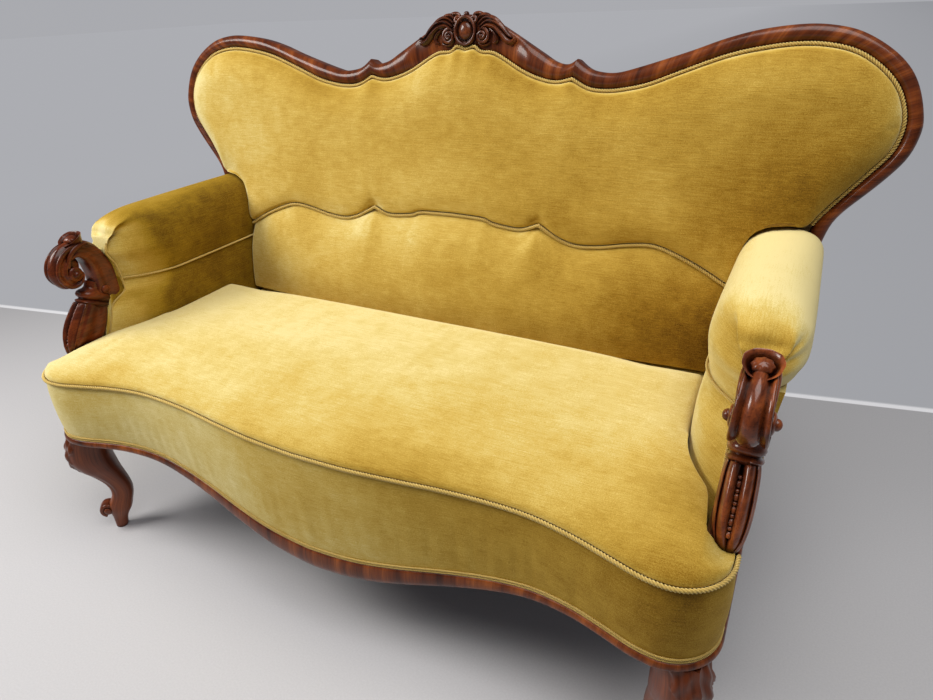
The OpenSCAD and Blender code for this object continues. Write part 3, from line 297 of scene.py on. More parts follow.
def heading(p):
    """Unit directions along a row of points."""
    d = np.empty_like(p)
    d[1:-1] = p[2:] - p[:-2]
    d[0], d[-1] = p[1] - p[0], p[-1] - p[-2]
    return d / np.maximum(np.linalg.norm(d, axis=1, keepdims=True), 1e-12)


def full_turn(n):
    """n even angles round a circle."""
    return np.linspace(0, 2 * np.pi, n, endpoint=False)


def worked(mesh, change):
    """Makes a change to a mesh by way of bmesh."""
    work = bmesh.new()
    work.from_mesh(mesh)
    change(work)
    work.to_mesh(mesh)
    work.free()


def face_outwards(work):
    bmesh.ops.recalc_face_normals(work, faces=work.faces)


def new_piece(name, mesh, *materials):
    """An object in the scene with that mesh and its materials."""
    for material in materials:
        mesh.materials.append(material)
    piece = bpy.data.objects.new(name, mesh)
    scene.collection.objects.link(piece)
    return piece


def loft(name, rings, material, swap_uv=False, shade_smooth=True):
    """A closed skin over rings of points. UV is metres along and around, the other way with swap_uv."""
    rings = np.asarray(rings, float)
    n, m = rings.shape[:2]
    along = running(rings.mean(axis=1))
    around = running(np.vstack([rings[n // 2], rings[n // 2][:1]]))
    faces = [((i, k), (i, k + 1), (i + 1, k + 1), (i + 1, k)) for i in range(n - 1) for k in range(m)]
    faces += [[(0, k) for k in reversed(range(m))], [(n - 1, k) for k in range(m)]]
    mesh = bpy.data.meshes.new(name)
    mesh.from_pydata(rings.reshape(-1, 3).tolist(), [], [[i * m + k % m for i, k in face] for face in faces])
    uv = np.array([(along[i], around[k]) for face in faces for i, k in face])
    if swap_uv:
        uv = uv[:, ::-1]
    mesh.uv_layers.new(name="UVMap").data.foreach_set("uv", np.ascontiguousarray(uv).ravel())
    worked(mesh, face_outwards)
    mesh.shade_smooth() if shade_smooth else mesh.shade_flat()
    return new_piece(name, mesh, material)


def fitted(piece, slot, *nodes):
    """The piece rides on the sofa's one body and stands for its CAD nodes; its finish slot is not used."""
    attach(piece, "root")
    if nodes:
        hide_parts(*nodes)
    return piece


def joined(name, pieces):
    """Several meshes as one object."""
    work = bmesh.new()
    materials = []
    for piece in pieces:
        start = len(work.faces)
        work.from_mesh(piece.data)
        work.faces.ensure_lookup_table()
        material = piece.data.materials[0]
        if material not in materials:
            materials.append(material)
        for face in work.faces[start:]:
            face.material_index = materials.index(material)
    mesh = bpy.data.meshes.new(name)
    work.to_mesh(mesh)
    work.free()
    for piece in pieces:
        bpy.data.objects.remove(piece)
    return new_piece(name, mesh, *materials)


def sharpen(piece, degrees):
    """Edges steeper than this stay crisp."""
    def crisp(work):
        for edge in work.edges:
            edge.smooth = len(edge.link_faces) == 2 and edge.calc_face_angle(0) < math.radians(degrees)
    piece.data.shade_smooth()
    worked(piece.data, crisp)
    return piece


def show_wood(piece, degrees, *nodes):
    return fitted(sharpen(piece, degrees), "mahogany", *nodes)


# Plan of the seat: two lobes and a hollow middle run into round front corners.
# Every piece of the front edge, from the rail to the seat cover, follows this one line.
seat_half, front_y, hollow, corner_r = 0.740, -0.403, 0.051, 0.080
seat_h, leg_h, rail_top = 0.460, 0.298, 0.385
corner_x, corner_y = seat_half - corner_r, front_y + corner_r
ear_y = corner_y + 0.016
serpentine_shares = [
    (0, 0.35), (0.16, 0.44), (0.30, 0.64), (0.44, 0.88), (0.57, 1.0), (0.68, 0.97),
    (0.79, 0.70), (0.88, 0.35), (0.95, 0.08), (1.0, 0.0),
]
turn_angles = np.radians(np.linspace(0, 90, 17))[1:]
front_half = np.vstack([
    spline([(x * corner_x, front_y + y * hollow) for x, y in serpentine_shares], 6),
    np.stack([corner_x + corner_r * np.sin(turn_angles), corner_y - corner_r * np.cos(turn_angles)], axis=1),
    [(seat_half, ear_y)],
])
sides = ((-1, "left"), (1, "right"))


def mirrored_line(half):
    """A plan line from the middle out to the right, with its left half added in front."""
    half = np.asarray(half, float)
    return np.vstack([half[:0:-1] * (-1, 1), half])


def mirrored_rings(half):
    half = np.asarray(half, float)
    return np.concatenate([half[:0:-1] * (-1, 1, 1), half])


def outward(line):
    """Unit directions to the right of a plan line, which is outwards on the front of the seat."""
    t = heading(line)
    return np.stack([t[:, 1], -t[:, 0]], axis=1)


def offset_line(line, w):
    return line + w * outward(line)


front_line = mirrored_line(front_half)
edge_of = np.array([p for i, p in enumerate(front_half) if i == 0 or p[0] > front_half[i - 1][0] + 1e-6])


def edge_y(x):
    return np.interp(np.abs(x), edge_of[:, 0], edge_of[:, 1])


apron_h, apron_mid_h, scallop_drop, scallop_share = 0.017, 0.045, 0.080, 0.9


def scallop(x):
    return 0.5 + 0.5 * np.cos(np.pi * np.minimum(1, np.abs(x) / (scallop_share * corner_x)))


def gimp_z(x):
    return leg_h + apron_h - scallop_drop * scallop(x)


def apron_z(x):
    return leg_h - (scallop_drop + apron_mid_h - apron_h) * scallop(x)


def along_front(line, section):
    """Rings of a section of (outward, height) points carried along the seat front."""
    rings = []
    for p, s in zip(line, outward(line)):
        profile = np.asarray(section(p[0]), float)
        rings.append(np.column_stack([p + profile[:, :1] * s, profile[:, 1]]))
    return rings


# Front rail: one serpentine timber with a convex moulding under the gimp, veneered across.
# The side rails run back from it to the rear posts with the same moulding, straight.
apron_swell, rail_t, cover_t = 0.007, 0.045, 0.012
rail_clearance, back_y, frame_t = 0.0002, 0.268, 0.034
rear_post_y = back_y - frame_t / 3
moulding_shares = spline([(0.0, 1.0), (0.55, 0.93), (0.86, 0.75), (1.0, 0.50), (0.85, 0.22), (0.30, 0.0)], 4)


def rail_profile(top, foot):
    wall = [(-rail_t, foot), (-rail_t, rail_top), (-cover_t, rail_top), (-cover_t, top)]
    return wall + [(q * apron_swell, blend(foot, top, h)) for q, h in moulding_shares]


front_rings = along_front(front_line, lambda x: rail_profile(gimp_z(x), apron_z(x)))
show_wood(loft("front_rail_veneered", front_rings, rail_veneer), 38, "front_rail")
for side, label in sides:
    rings = [
        [(side * (seat_half + o), y, z) for o, z in rail_profile(leg_h + apron_h, leg_h)]
        for y in np.linspace(ear_y + rail_clearance, rear_post_y, 24)
    ]
    show_wood(loft(f"side_rail_veneered_{label}", rings, rail_veneer), 38, f"side_rail_{label}")

# Seat frame under the covering: beech rails, battens and blocks, glued and screwed.
# They keep their solids, and only their timber and steel are finished here.
pale_beech = ((0.62, 0.42, 0.23), (0.50, 0.32, 0.165), (0.36, 0.215, 0.105))
beech = wood_material("beech_sawn", pale_beech, "Object", contrast=0.7, turned=(0, 0, math.pi / 2), coat=0.0)
beech_nodes = ["back_seat_rail", "front_batten", "back_base_rail", "back_mid_rail"]
for part in ("corner_block_front", "corner_block_rear", "arm_rail", "arm_tack_rail"):
    beech_nodes += [f"{part}_{label}" for _, label in sides]
steel, tree, shader = new_material("steel_wire")
rust = noise_of(tree, add_node(tree, "ShaderNodeTexCoord").outputs["Object"], 90.0, 4.0)
feed(tree, shader, {
    "Base Color": ramp(tree, rust, [(0.42, (0.30, 0.30, 0.31)), (0.68, (0.17, 0.10, 0.06))]),
    "Roughness": ramp(tree, rust, [(0.4, (0.32,)), (0.7, (0.75,))]), "Metallic": 0.9,
})
for material, names in ((beech, beech_nodes), (steel, ["block_screws", "seat_springs"])):
    for name in names:
        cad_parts[name].data.materials.clear()
        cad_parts[name].data.materials.append(material)


def squarish(a, b, n, power=0.72):
    """Points of a section between an oval and a rectangle, half sizes a and b."""
    c, s = np.cos(full_turn(n)), np.sin(full_turn(n))
    return np.stack([a * np.sign(c) * np.abs(c) ** power, b * np.sign(s) * np.abs(s) ** power], axis=1)


def swept(path, sections, ref):
    """Rings of sections along a path; the second axis of a section stays near ref."""
    t = heading(np.asarray(path, float))
    side = np.cross(t, ref)
    side /= np.maximum(np.linalg.norm(side, axis=1, keepdims=True), 1e-9)
    over = np.cross(side, t)
    return [p + q[:, :1] * a + q[:, 1:] * b for p, q, a, b in zip(path, sections, side, over)]


# Front legs: cabriole legs carved from one piece, turned out along the diagonal of the corner.
# An acanthus leaf lies on the knee, and the toe curls up into a small scroll on a low pad.
knee_d, knee_w, ankle_d, ankle_w = 0.090, 0.080, 0.050, 0.042
leg_shares = [
    (1.0, 0.26, 0.92, 0), (0.87, 0.39, 0.97, 0), (0.76, 0.41, 1.0, 0), (0.66, 0.31, 0.75, 0.25),
    (0.58, 0.18, 0.45, 0.5), (0.48, 0.03, 0.15, 0.8), (0.40, -0.03, 0, 1.0), (0.33, -0.01, 0, 1.02),
    (0.25, 0.10, 0, 1.12), (0.19, 0.15, 0, 1.05), (0.10, 0.23, 0, 0.70), (0.01, 0.27, 0, 0.56),
]
leaf_reach_share, leaf_lobes, leaf_relief, flute_relief = 0.46, 4, 0.00672, 0.0016
leg_out = 0.012
toe_x, toe_z, toe_r, toe_half_w = 0.0405, 0.0626, 0.0225, 0.019
toe_turns, toe_start, toe_band, toe_eye_r = 1.6, math.radians(-70), (0.0062, 0.0035), 0.004
eye_r, least_share = toe_r * 0.72, 0.004
eye_shares = [(0.0, 1.12), (0.30, 1.11), (0.48, 1.02), (0.52, 0.94), (0.46, 0.9), (0.46, 0.0)]
pad_x_at = 0.0243
pad_rings = ((0.0105, 0.0), (0.0125, 0.0006), (0.0128, 0.0028), (0.0118, 0.0045), (0.010, 0.006))


def knee_leaf(angle, height):
    """Relief of the leaf that hangs from the top of the knee, with its midrib and veins."""
    v = (1 - height) / leaf_reach_share
    reach = 1.15 * np.clip(1 - v, 0, 1) ** 0.55 * (1 - 0.22 * np.abs(np.sin(np.pi * leaf_lobes * v)))
    u = np.abs(angle)
    edge = ease((reach - u) / 0.10)
    rib = np.exp(-(u / 0.07) ** 2) + 0.55 * np.cos(15 * u)
    veins = np.cos(2 * np.pi * (leaf_lobes * v - 1.1 * u))
    curl = np.exp(-((reach - u) / 0.09) ** 2) * 0.4
    return leaf_relief * np.where(v < 1, edge * (0.42 + 0.4 * rib + 0.24 * veins) + curl * edge, 0)


for side, label in sides:
    rings = []
    for h, offset, knee, ankle in spline(leg_shares, 9):
        q = squarish((knee * knee_d + ankle * ankle_d) / 2, (knee * knee_w + ankle * ankle_w) / 2, 72, 0.74)
        angle = np.arctan2(q[:, 1], q[:, 0])
        # A shallow hollow runs down each side of the front edge
        flute = np.exp(-((np.abs(angle) - 0.9) / 0.16) ** 2) * ease((0.62 - h) / 0.1) * ease((h - 0.2) / 0.08)
        carved = (knee_leaf(angle, h) - flute_relief * flute)[:, None]
        q = q + carved * q / np.maximum(np.linalg.norm(q, axis=1, keepdims=True), 1e-6)
        rings.append(np.column_stack([q[:, 0] + offset * knee_d, q[:, 1], np.full(len(q), h * leg_h)]))
    parts = [loft("leg", rings, solid_mahogany, swap_uv=True)]
    # The scroll of the toe: a band wound inwards and widened towards its eye
    wind = np.linspace(0, 1, 64)
    turn = toe_start + wind * 2 * np.pi * toe_turns
    radius = blend(toe_r - 0.005, toe_eye_r, wind ** 0.8)
    path = np.column_stack([toe_x + radius * np.cos(turn), 0 * wind, toe_z + radius * np.sin(turn)])
    sections = [squarish(blend(*toe_band, w), toe_half_w * blend(0.82, 1.06, w), 20, 0.6) for w in wind]
    parts.append(loft("toe", swept(path, sections, (0, 1, 0)), solid_mahogany, swap_uv=True))
    t = full_turn(28)
    rings = []
    for r, h in spline(eye_shares + [(r, -h) for r, h in eye_shares[-2::-1]], 3):
        radius = max(r, least_share) * eye_r
        rings.append(np.column_stack([
            toe_x + radius * np.cos(t), np.full(len(t), h * toe_half_w), toe_z + radius * np.sin(t)
        ]))
    parts.append(loft("eye", rings, solid_mahogany))
    t = full_turn(32)
    rings = [
        np.column_stack([pad_x_at + r * np.cos(t), r * np.sin(t), np.full(len(t), z)]) for r, z in pad_rings
    ]
    parts.append(loft("pad", rings, solid_mahogany))
    leg = joined(f"front_leg_carved_{label}", parts)
    corner = Matrix.Translation((corner_x + leg_out, corner_y - leg_out, 0))
    leg.data.transform(corner @ Matrix.Rotation(-math.pi / 4, 4, "Z"))
    if side < 0:
        leg.data.transform(Matrix.Scale(-1, 4, (1, 0, 0)))
        leg.data.flip_normals()
    show_wood(leg, 50, f"front_leg_{label}")

# Rear legs: plain mahogany, raked back to the heel and halved into the back of the frame.
# Their edges are lightly rounded.
heel_y, heel_d, post_t = 0.370, 0.040, 0.045
rear_depth = rear_post_y + frame_t + 0.010
rear_front = spline([(0, 0), (0.14, 0.15), (0.42, 0.42), (0.72, 0.72), (1, 1)], 6)
rear_back = spline([(0, 0), (0.20, 0.15), (0.55, 0.42), (0.86, 0.72), (1, 1)], 6)
levels = [
    (f[1] * leg_h, blend(heel_y, rear_post_y, f[0]), blend(heel_y + heel_d, rear_depth, b[0]))
    for f, b in zip(rear_front, rear_back)
]
levels.append((rail_top, *levels[-1][1:]))
for side, label in sides:
    rings = []
    for z, near, far in levels:
        q = squarish((far - near) / 2, post_t / 2, 40, 0.22)
        x, y = side * (seat_half - post_t / 2) + q[:, 1], (near + far) / 2 + q[:, 0]
        rings.append(np.column_stack([x, y, np.full(len(q), z)]))
    show_wood(loft(f"rear_leg_shaped_{label}", rings, solid_mahogany, swap_uv=True), 60, f"rear_leg_{label}")

# Back frame: crest, shoulders and stiles are one convex band, veneered across its width.
# The outline lies on a face that leans back eight degrees; s runs up that face from the welt.
half_w, recline, wood_swell, overall_h = 0.890, math.radians(8), 0.014, 1.136
back_rise = (overall_h - seat_h) / math.cos(recline)
crest_out_shares = [
    (0, 1.0), (0.030, 0.995), (0.070, 0.980), (0.107, 0.955), (0.144, 0.928), (0.196, 0.889),
    (0.232, 0.863), (0.268, 0.854), (0.290, 0.869),
]
crest_in_shares = [
    (0, 0.903), (0.025, 0.911), (0.045, 0.895), (0.084, 0.889), (0.155, 0.840), (0.202, 0.817),
    (0.244, 0.808), (0.283, 0.818),
]
shoulder_out_shares = [
    (0.290, 0.869), (0.314, 0.846), (0.340, 0.835), (0.382, 0.831), (0.433, 0.846), (0.537, 0.887),
    (0.613, 0.921), (0.684, 0.943), (0.764, 0.953), (0.820, 0.947), (0.865, 0.931), (0.921, 0.889),
    (0.961, 0.839), (0.985, 0.779), (1.0, 0.712),
]
shoulder_in_shares = [
    (0.283, 0.818), (0.326, 0.791), (0.371, 0.786), (0.416, 0.793), (0.463, 0.807), (0.528, 0.839),
    (0.618, 0.881), (0.688, 0.901), (0.757, 0.911), (0.813, 0.907), (0.866, 0.888), (0.916, 0.845),
    (0.949, 0.796), (0.967, 0.738), (0.970, 0.700),
]
stile_out_shares = [
    (1.0, 0.712), (0.989, 0.641), (0.960, 0.583), (0.926, 0.530), (0.894, 0.482), (0.873, 0.425),
]
stile_in_shares = [
    (0.970, 0.700), (0.960, 0.645), (0.930, 0.591), (0.893, 0.529), (0.863, 0.476), (0.840, 0.417),
]
wood_shares = [(0, -1), (0, -0.2)] + spline([
    (0, 0.3), (0.1, 0.62), (0.3, 0.93), (0.52, 1.0), (0.74, 0.86), (0.91, 0.5), (1.0, 0.05), (1.0, -0.6)
], 4).tolist() + [(0.985, -0.86), (0.94, -0.97), (0.9, -1)]


def slope(z):
    return (z - seat_h) / math.cos(recline)


def face_y(z, d):
    """Depth of the leaning face at a height, d in front of it."""
    return back_y + (z - seat_h) * math.tan(recline) - d / math.cos(recline)


def back_pt(x, s, d):
    """The point at x and s on the leaning face, d in front of it."""
    x, s, d = np.broadcast_arrays(np.asarray(x, float), s, d)
    y = back_y + s * math.sin(recline) - d * math.cos(recline)
    return np.stack([x, y, seat_h + s * math.cos(recline) + d * math.sin(recline)], axis=-1)


def on_face(shares):
    return np.asarray(shares, float) * (half_w, back_rise)


stile_w, stile_foot, bow_s, stile_trim = 0.044, slope(rail_top), 0.22 * back_rise, 0.004
stile_out_foot = [(seat_half + cover_t, bow_s), (seat_half, 0), (seat_half, stile_foot)]
stile_in_foot = [
    (seat_half - 0.385 * stile_w, bow_s), (seat_half - 0.73 * stile_w, 0), (seat_half - stile_w, stile_foot)
]
crest_out, crest_in, shoulder_out, shoulder_in = (
    spline(on_face(shares), 6)
    for shares in (crest_out_shares, crest_in_shares, shoulder_out_shares, shoulder_in_shares)
)
stile_out = spline(np.vstack([on_face(stile_out_shares), stile_out_foot]), 6)
stile_in = spline(np.vstack([on_face(stile_in_shares), stile_in_foot]), 6)


def eased_joint(first, second):
    """Two lengths of one outline, with the bend where they meet rounded off."""
    meet = first[-1]
    line = resample(np.vstack([first, second[1:]]), 700)
    share = ease(np.linspace(0, 4, len(line)) - 0.6)[1:-1, None]
    for _ in range(70):
        line[1:-1] += 0.5 * share * ((line[:-2] + line[2:]) / 2 - line[1:-1])
    k = int(np.argmin(np.linalg.norm(line - meet, axis=1)))
    return line[:k + 1], line[k:]


shoulder_out, stile_out = eased_joint(shoulder_out, stile_out)
shoulder_in, stile_in = eased_joint(shoulder_in, stile_in)
carved_w, ground_share = 0.18 * half_w, 0.4


def crest_swell(x):
    """The band's swell, sunk to a low ground under the carving in the middle of the crest."""
    return wood_swell * blend(1, ground_share, ease((carved_w - abs(x)) / (carved_w / 4)))


def wood_band(inner, outer, n, swell=lambda x: wood_swell):
    """Rings of the convex band between two outlines, flat behind."""
    rings = []
    for p, q in zip(resample(inner, n), resample(outer, n)):
        rings.append([
            back_pt(blend(p[0], q[0], u), blend(p[1], q[1], u), d * (swell(q[0]) if d > 0 else frame_t))
            for u, d in wood_shares
        ])
    return np.array(rings)


crest_rings = mirrored_rings(wood_band(crest_in, crest_out, 54, crest_swell))
show_wood(loft("crest_rail_veneered", crest_rings, veneer), 42, "crest_rail")
shoulder_rings, stile_rings = wood_band(shoulder_in, shoulder_out, 96), wood_band(stile_in, stile_out, 60)
# The foot of the stile is cut off level on top of the rear leg
stile_rings[-1] = [
    (
        blend(stile_in[-1][0], stile_out[-1][0], u), face_y(rail_top, d * (wood_swell if d > 0 else frame_t)),
        rail_top,
    )
    for u, d in wood_shares
]
keep = stile_rings[:, :, 2].min(axis=1) > rail_top + stile_trim
keep[-1] = True
stile_rings = stile_rings[keep]
for side, label in sides:
    for part, rings in (("shoulder_rail", shoulder_rings), ("back_stile", stile_rings)):
        show_wood(loft(f"{part}_veneered_{label}", rings * (side, 1, 1), veneer), 42, f"{part}_{label}")

# Crest carving: a domed cartouche in a rolled rim, a volute on each side, and acanthus fronds
# that sweep down to curled tips. All of it stands on a ground sunk into the middle of the crest.
cartouche_r, carve_t, carve_sink = 0.029, 0.014, 0.001
cartouche_s, carve_base = 0.951 * back_rise, ground_share * wood_swell + 0.0003
frond_paths = [
    ([(1.15, -0.02), (1.7, 0.34), (2.4, 0.22), (2.95, -0.22), (3.35, -0.66), (3.78, -0.84), (4.02, -0.62),
      (3.92, -0.40)], 0.25, 1.0),
    ([(1.15, 0.28), (1.8, 0.66), (2.5, 0.54), (3.05, 0.12), (3.45, -0.30), (3.80, -0.52)], 0.21, 0.85),
    ([(1.05, 0.52), (1.6, 0.88), (2.2, 0.80), (2.75, 0.46), (3.10, 0.10)], 0.20, 0.75),
    ([(0.92, 0.78), (1.3, 1.04), (1.8, 1.00), (2.28, 0.70)], 0.18, 0.65),
    ([(0.55, 1.02), (0.80, 1.16), (1.15, 1.17), (1.55, 1.02)], 0.16, 0.55),
    ([(1.95, 0.12), (2.35, -0.10), (2.62, -0.48), (2.55, -0.80), (2.28, -0.88)], 0.17, 0.8),
    ([(1.0, -0.55), (1.25, -0.92), (1.68, -1.0), (2.1, -0.82)], 0.13, 0.6),
]
frond_profile = [
    (-1, 0), (-0.86, 0.5), (-0.45, 0.62), (-0.12, 0.95), (0.12, 0.95), (0.45, 0.62), (0.86, 0.5), (1, 0)
]
boss_profile = [(1.0, 0.0), (1.0, 0.25), (0.86, 0.62), (0.55, 0.9), (0.02, 1.0)]
cartouche_profile = [
    (1.0, 0.0), (1.0, 0.55), (0.95, 0.86), (0.86, 0.92), (0.78, 0.78), (0.72, 0.42), (0.66, 0.34),
    (0.60, 0.5), (0.45, 0.82), (0.22, 1.02), (0.02, 1.06),
]
coil_wide, coil_thick = (0.0046, 0.0026), (0.0046, 0.0030)


def on_crest(side, x, s, height):
    """A point in cartouche radii from the middle of the cartouche, at a height over the carving's ground."""
    return back_pt(side * x * cartouche_r, cartouche_s + s * cartouche_r, carve_base + height)


def frond(points, width, height, side):
    """A leaf strand: pointed at both ends and ridged along its middle."""
    line = spline(points, 8)
    body = np.sin(np.pi * np.clip(0.08 + 0.9 * np.linspace(0, 1, len(line)), 0, 1)) ** 0.55
    d = heading(line)
    rings = []
    for p, across, full in zip(line, np.stack([-d[:, 1], d[:, 0]], axis=1), body):
        spots = [
            (p + across * u * width * full, h * height * carve_t * (0.35 + 0.65 * full))
            for u, h in frond_profile
        ]
        rings.append([on_crest(side, *q, lift - carve_sink) for q, lift in spots])
    return loft("frond", rings, crest_mahogany)


def volute(centre, radius, turns, side, height, start=90):
    """A tapering coil lying on the face, raised towards its eye."""
    w = np.linspace(0, 1, int(34 * turns))
    a = np.radians(start) - w * 2 * np.pi * turns
    r = radius * blend(1, 0.12, w ** 0.85)
    x, s = centre[0] + r * np.cos(a), centre[1] + r * np.sin(a)
    path = on_crest(side, x, s, blend(0.25, 0.72, w) * height * carve_t)
    sections = [squarish(blend(*coil_wide, q), blend(*coil_thick, q), 14, 0.9) for q in w]
    return loft("volute", swept(path, sections, back_pt(0, 0, 1) - back_pt(0, 0, 0)), crest_mahogany)


def dome(centre, radius, height, side, stretch=1.0, profile=boss_profile):
    """A turned boss standing on the face; the profile is share of radius, share of height."""
    x, s = np.cos(full_turn(40)), np.sin(full_turn(40)) * stretch
    rings = [
        on_crest(
            side, centre[0] + radius * r * x, centre[1] + radius * r * s, h * height * carve_t - carve_sink,
        )
        for r, h in spline(profile, 4)
    ]
    return loft("dome", rings, crest_mahogany)


parts = [
    dome((0, 0), 0.94, 1.0, 1, 1.16, cartouche_profile),
    dome((0, -0.92), 0.26, 0.7, 1), dome((0, 1.14), 0.20, 0.7, 1),
]
for side, _ in sides:
    parts += [frond(*row, side) for row in frond_paths]
    parts.append(volute((1.42, -0.38), 0.56, 1.9, side, 1.0))
    parts.append(dome((1.42, -0.38), 0.17, 1.05, side))
    parts.append(volute((0.72, 0.72), 0.30, 1.3, side, 0.8, 200))
show_wood(joined("crest_carving_fronds", parts), 60, "crest_carving")

# Plush: gold mohair velvet on a cotton ground, its threads running across the sofa.
# The pile leans in patches and streaks where it has been brushed; a painted sheen pales it at a low angle,
# and painted light and shade change with the way each face turns and in soft patches.
pile_group, given, result = shader_group(
    "plush_pile", [("Threads", "v"), ("Place", "v")], [("Shade", "f"), ("Roughness", "f"), ("Height", "f")]
)
tree, threads, place = pile_group, given.outputs["Threads"], given.outputs["Place"]
mottle = noise_of(tree, place, 34.0, 3.0, 0.6)
weft = noise_of(tree, threads, 460.0, 1.0, stretch=(0.06, 1.0, 1.0))
fibre = noise_of(tree, place, 700.0, 1.0)
layers = (
    (noise_of(tree, place, 6.5, 3.0, 0.55), 0.34), (mottle, 0.24),
    (noise_of(tree, threads, 26.0, 2.0, stretch=(1.0, 0.16, 1.0)), 0.07), (weft, 0.24), (fibre, 0.50),
)
shade = 0.0
for layer, share in layers:
    shade = calc(tree, "MULTIPLY_ADD", calc(tree, "SUBTRACT", layer, 0.5), share, shade)
feed(tree, result, {
    "Shade": shade, "Roughness": calc(tree, "MULTIPLY_ADD", mottle, 0.2, 0.68),
    "Height": calc(tree, "ADD", calc(tree, "MULTIPLY", weft, 0.6), calc(tree, "MULTIPLY", fibre, 0.4)),
})


def cloth_material(
    name, shades, sheen, lean=0.46, tips=0.80, turned=(), rubbed=(), coordinate="UV", bump=0.0011,
):
    """Cloth whose shades run from the pile seen straight on to a painted sheen, paler at a low angle.

    The turned rows (direction, from, to, change) paint light and shade by which way a face turns; the patch
    rows (centre, reach, change) paint light and shade in soft round patches.
    """
    material, tree, shader = new_material(name)
    place = add_node(tree, "ShaderNodeTexCoord")
    inputs = {"Threads": place.outputs[coordinate], "Place": place.outputs["Object"]}
    pile = add_node(tree, "ShaderNodeGroup", inputs, node_tree=pile_group)
    # Painted sheen: the colour pales where the surface is seen at a low angle
    edge = add_node(tree, "ShaderNodeLayerWeight", {"Blend": 0.5})
    shade = calc(tree, "MULTIPLY_ADD", edge.outputs["Facing"], tips, lean)
    shade = calc(tree, "ADD", shade, pile.outputs["Shade"])
    measures = []
    # Painted light and shade: the colour changes with which way each face turns
    for direction, start, stop, change in turned:
        normal = add_node(tree, "ShaderNodeNewGeometry").outputs["Normal"]
        facing = add_node(tree, "ShaderNodeVectorMath", {0: normal, 1: direction}, operation="DOT_PRODUCT")
        measures.append((facing, start, stop, 0.0, change))
    # Painted light and shade in soft round patches
    for centre, reach, change in rubbed:
        ends = {0: place.outputs["Object"], 1: centre}
        apart = add_node(tree, "ShaderNodeVectorMath", ends, operation="SUBTRACT").outputs["Vector"]
        share = add_node(tree, "ShaderNodeVectorMath", {0: apart, 1: reach}, operation="DIVIDE")
        away = add_node(tree, "ShaderNodeVectorMath", {0: share.outputs["Vector"]}, operation="LENGTH")
        measures.append((away, 0.0, 1.0, change, 0.0))
    for measure, *span in measures:
        fade = graded(tree, measure.outputs["Value"], *span, interpolation_type="SMOOTHSTEP")
        shade = calc(tree, "ADD", shade, fade)
    feed(tree, shader, {
        "Base Color": ramp(tree, shade, shades), "Roughness": pile.outputs["Roughness"],
        "Specular IOR Level": 0.12, "Sheen Weight": sheen, "Sheen Roughness": 0.38,
        "Sheen Tint": (1.0, 0.90, 0.62, 1),
    })
    embossed(tree, shader, pile.outputs["Height"], 0.55, bump)
    return material


golds = [
    (0.0, (0.10, 0.042, 0.002)), (0.25, (0.275, 0.145, 0.010)), (0.5, (0.45, 0.28, 0.040)),
    (0.7, (0.59, 0.405, 0.088)), (0.85, (0.67, 0.53, 0.18)), (1.0, (0.78, 0.66, 0.31)),
]
# Painted shade for the left arm, which faces away from the window: its copy of the plush is darker all over,
# with greener dark shades
shaded_golds = [(0.0, (0.125, 0.062, 0.003)), (0.25, (0.31, 0.185, 0.011))] + golds[2:]


def plush_material(name, shades=golds, sheen=0.08, **settings):
    return cloth_material(f"plush_gold{name}", shades, sheen, **settings)


# Painted shade on faces turned down, and on the back also on faces turned up
painted_shade_facing_down, painted_shade_facing_up = ((0, 0, -1), 0.05, 0.6, -0.22), ((0, 0, 1), 0.25, 0.8, -0.30)
plush = plush_material("", turned=[painted_shade_facing_down])
# Each panel has its own copy of the plush, with painted light and shade in patches set for where it stands
plush_seat = plush_material("_seat", coordinate="Object", turned=[painted_shade_facing_down], rubbed=[
    ((0.22, -0.37, 0.48), (0.24, 0.13, 0.2), -0.10), ((0.45, -0.31, 0.48), (0.12, 0.08, 0.2), 0.10),
    ((0.68, -0.32, 0.48), (0.20, 0.28, 0.2), -0.20), ((0.10, 0.15, 0.48), (0.60, 0.12, 0.2), -0.08),
])
plush_back = plush_material("_back", coordinate="Object", turned=[painted_shade_facing_down, painted_shade_facing_up], rubbed=[
    ((0.75, 0.27, 0.80), (0.30, 0.3, 0.26), -0.26), ((0.62, 0.27, 1.04), (0.14, 0.2, 0.08), 0.10),
    ((0.21, 0.27, 0.72), (0.17, 0.2, 0.08), -0.12), ((0.48, 0.27, 0.70), (0.17, 0.2, 0.08), -0.14),
    ((-0.09, 0.27, 1.0), (0.20, 0.2, 0.09), 0.07),
])
plush_lumbar = plush_material("_lumbar", coordinate="Object", turned=[painted_shade_facing_down], rubbed=[
    ((0.64, 0.2, 0.52), (0.44, 0.4, 0.24), -0.46), ((-0.10, 0.2, 0.46), (0.75, 0.4, 0.14), -0.14),
    ((-0.15, 0.2, 0.66), (0.32, 0.3, 0.07), 0.09),
])
plush_border = plush_material("_border", sheen=0.03, tips=0.52, turned=[painted_shade_facing_down], rubbed=[
    ((0.68, -0.35, 0.38), (0.62, 0.6, 0.5), -0.38), ((-0.50, -0.40, 0.40), (0.58, 0.5, 0.4), 0.20),
])
plush_left_painted_shade = plush_material(
    "_left", shaded_golds, 0.03, lean=0.0, tips=0.42, turned=[((0, -1, 0), 0.12, 0.80, 0.74)],
    rubbed=[((-0.75, 0.22, 0.65), (0.30, 0.30, 0.30), -0.14)],
)
# The right arm's copy is painted a little lighter, with painted shade on its inner face
plush_right_light_and_shade = plush_material("_right", lean=0.50, turned=[((-1, 0, 0), 0.20, 0.90, -0.22)])
cloth_frames, cloth_pressure = 20, 4.0


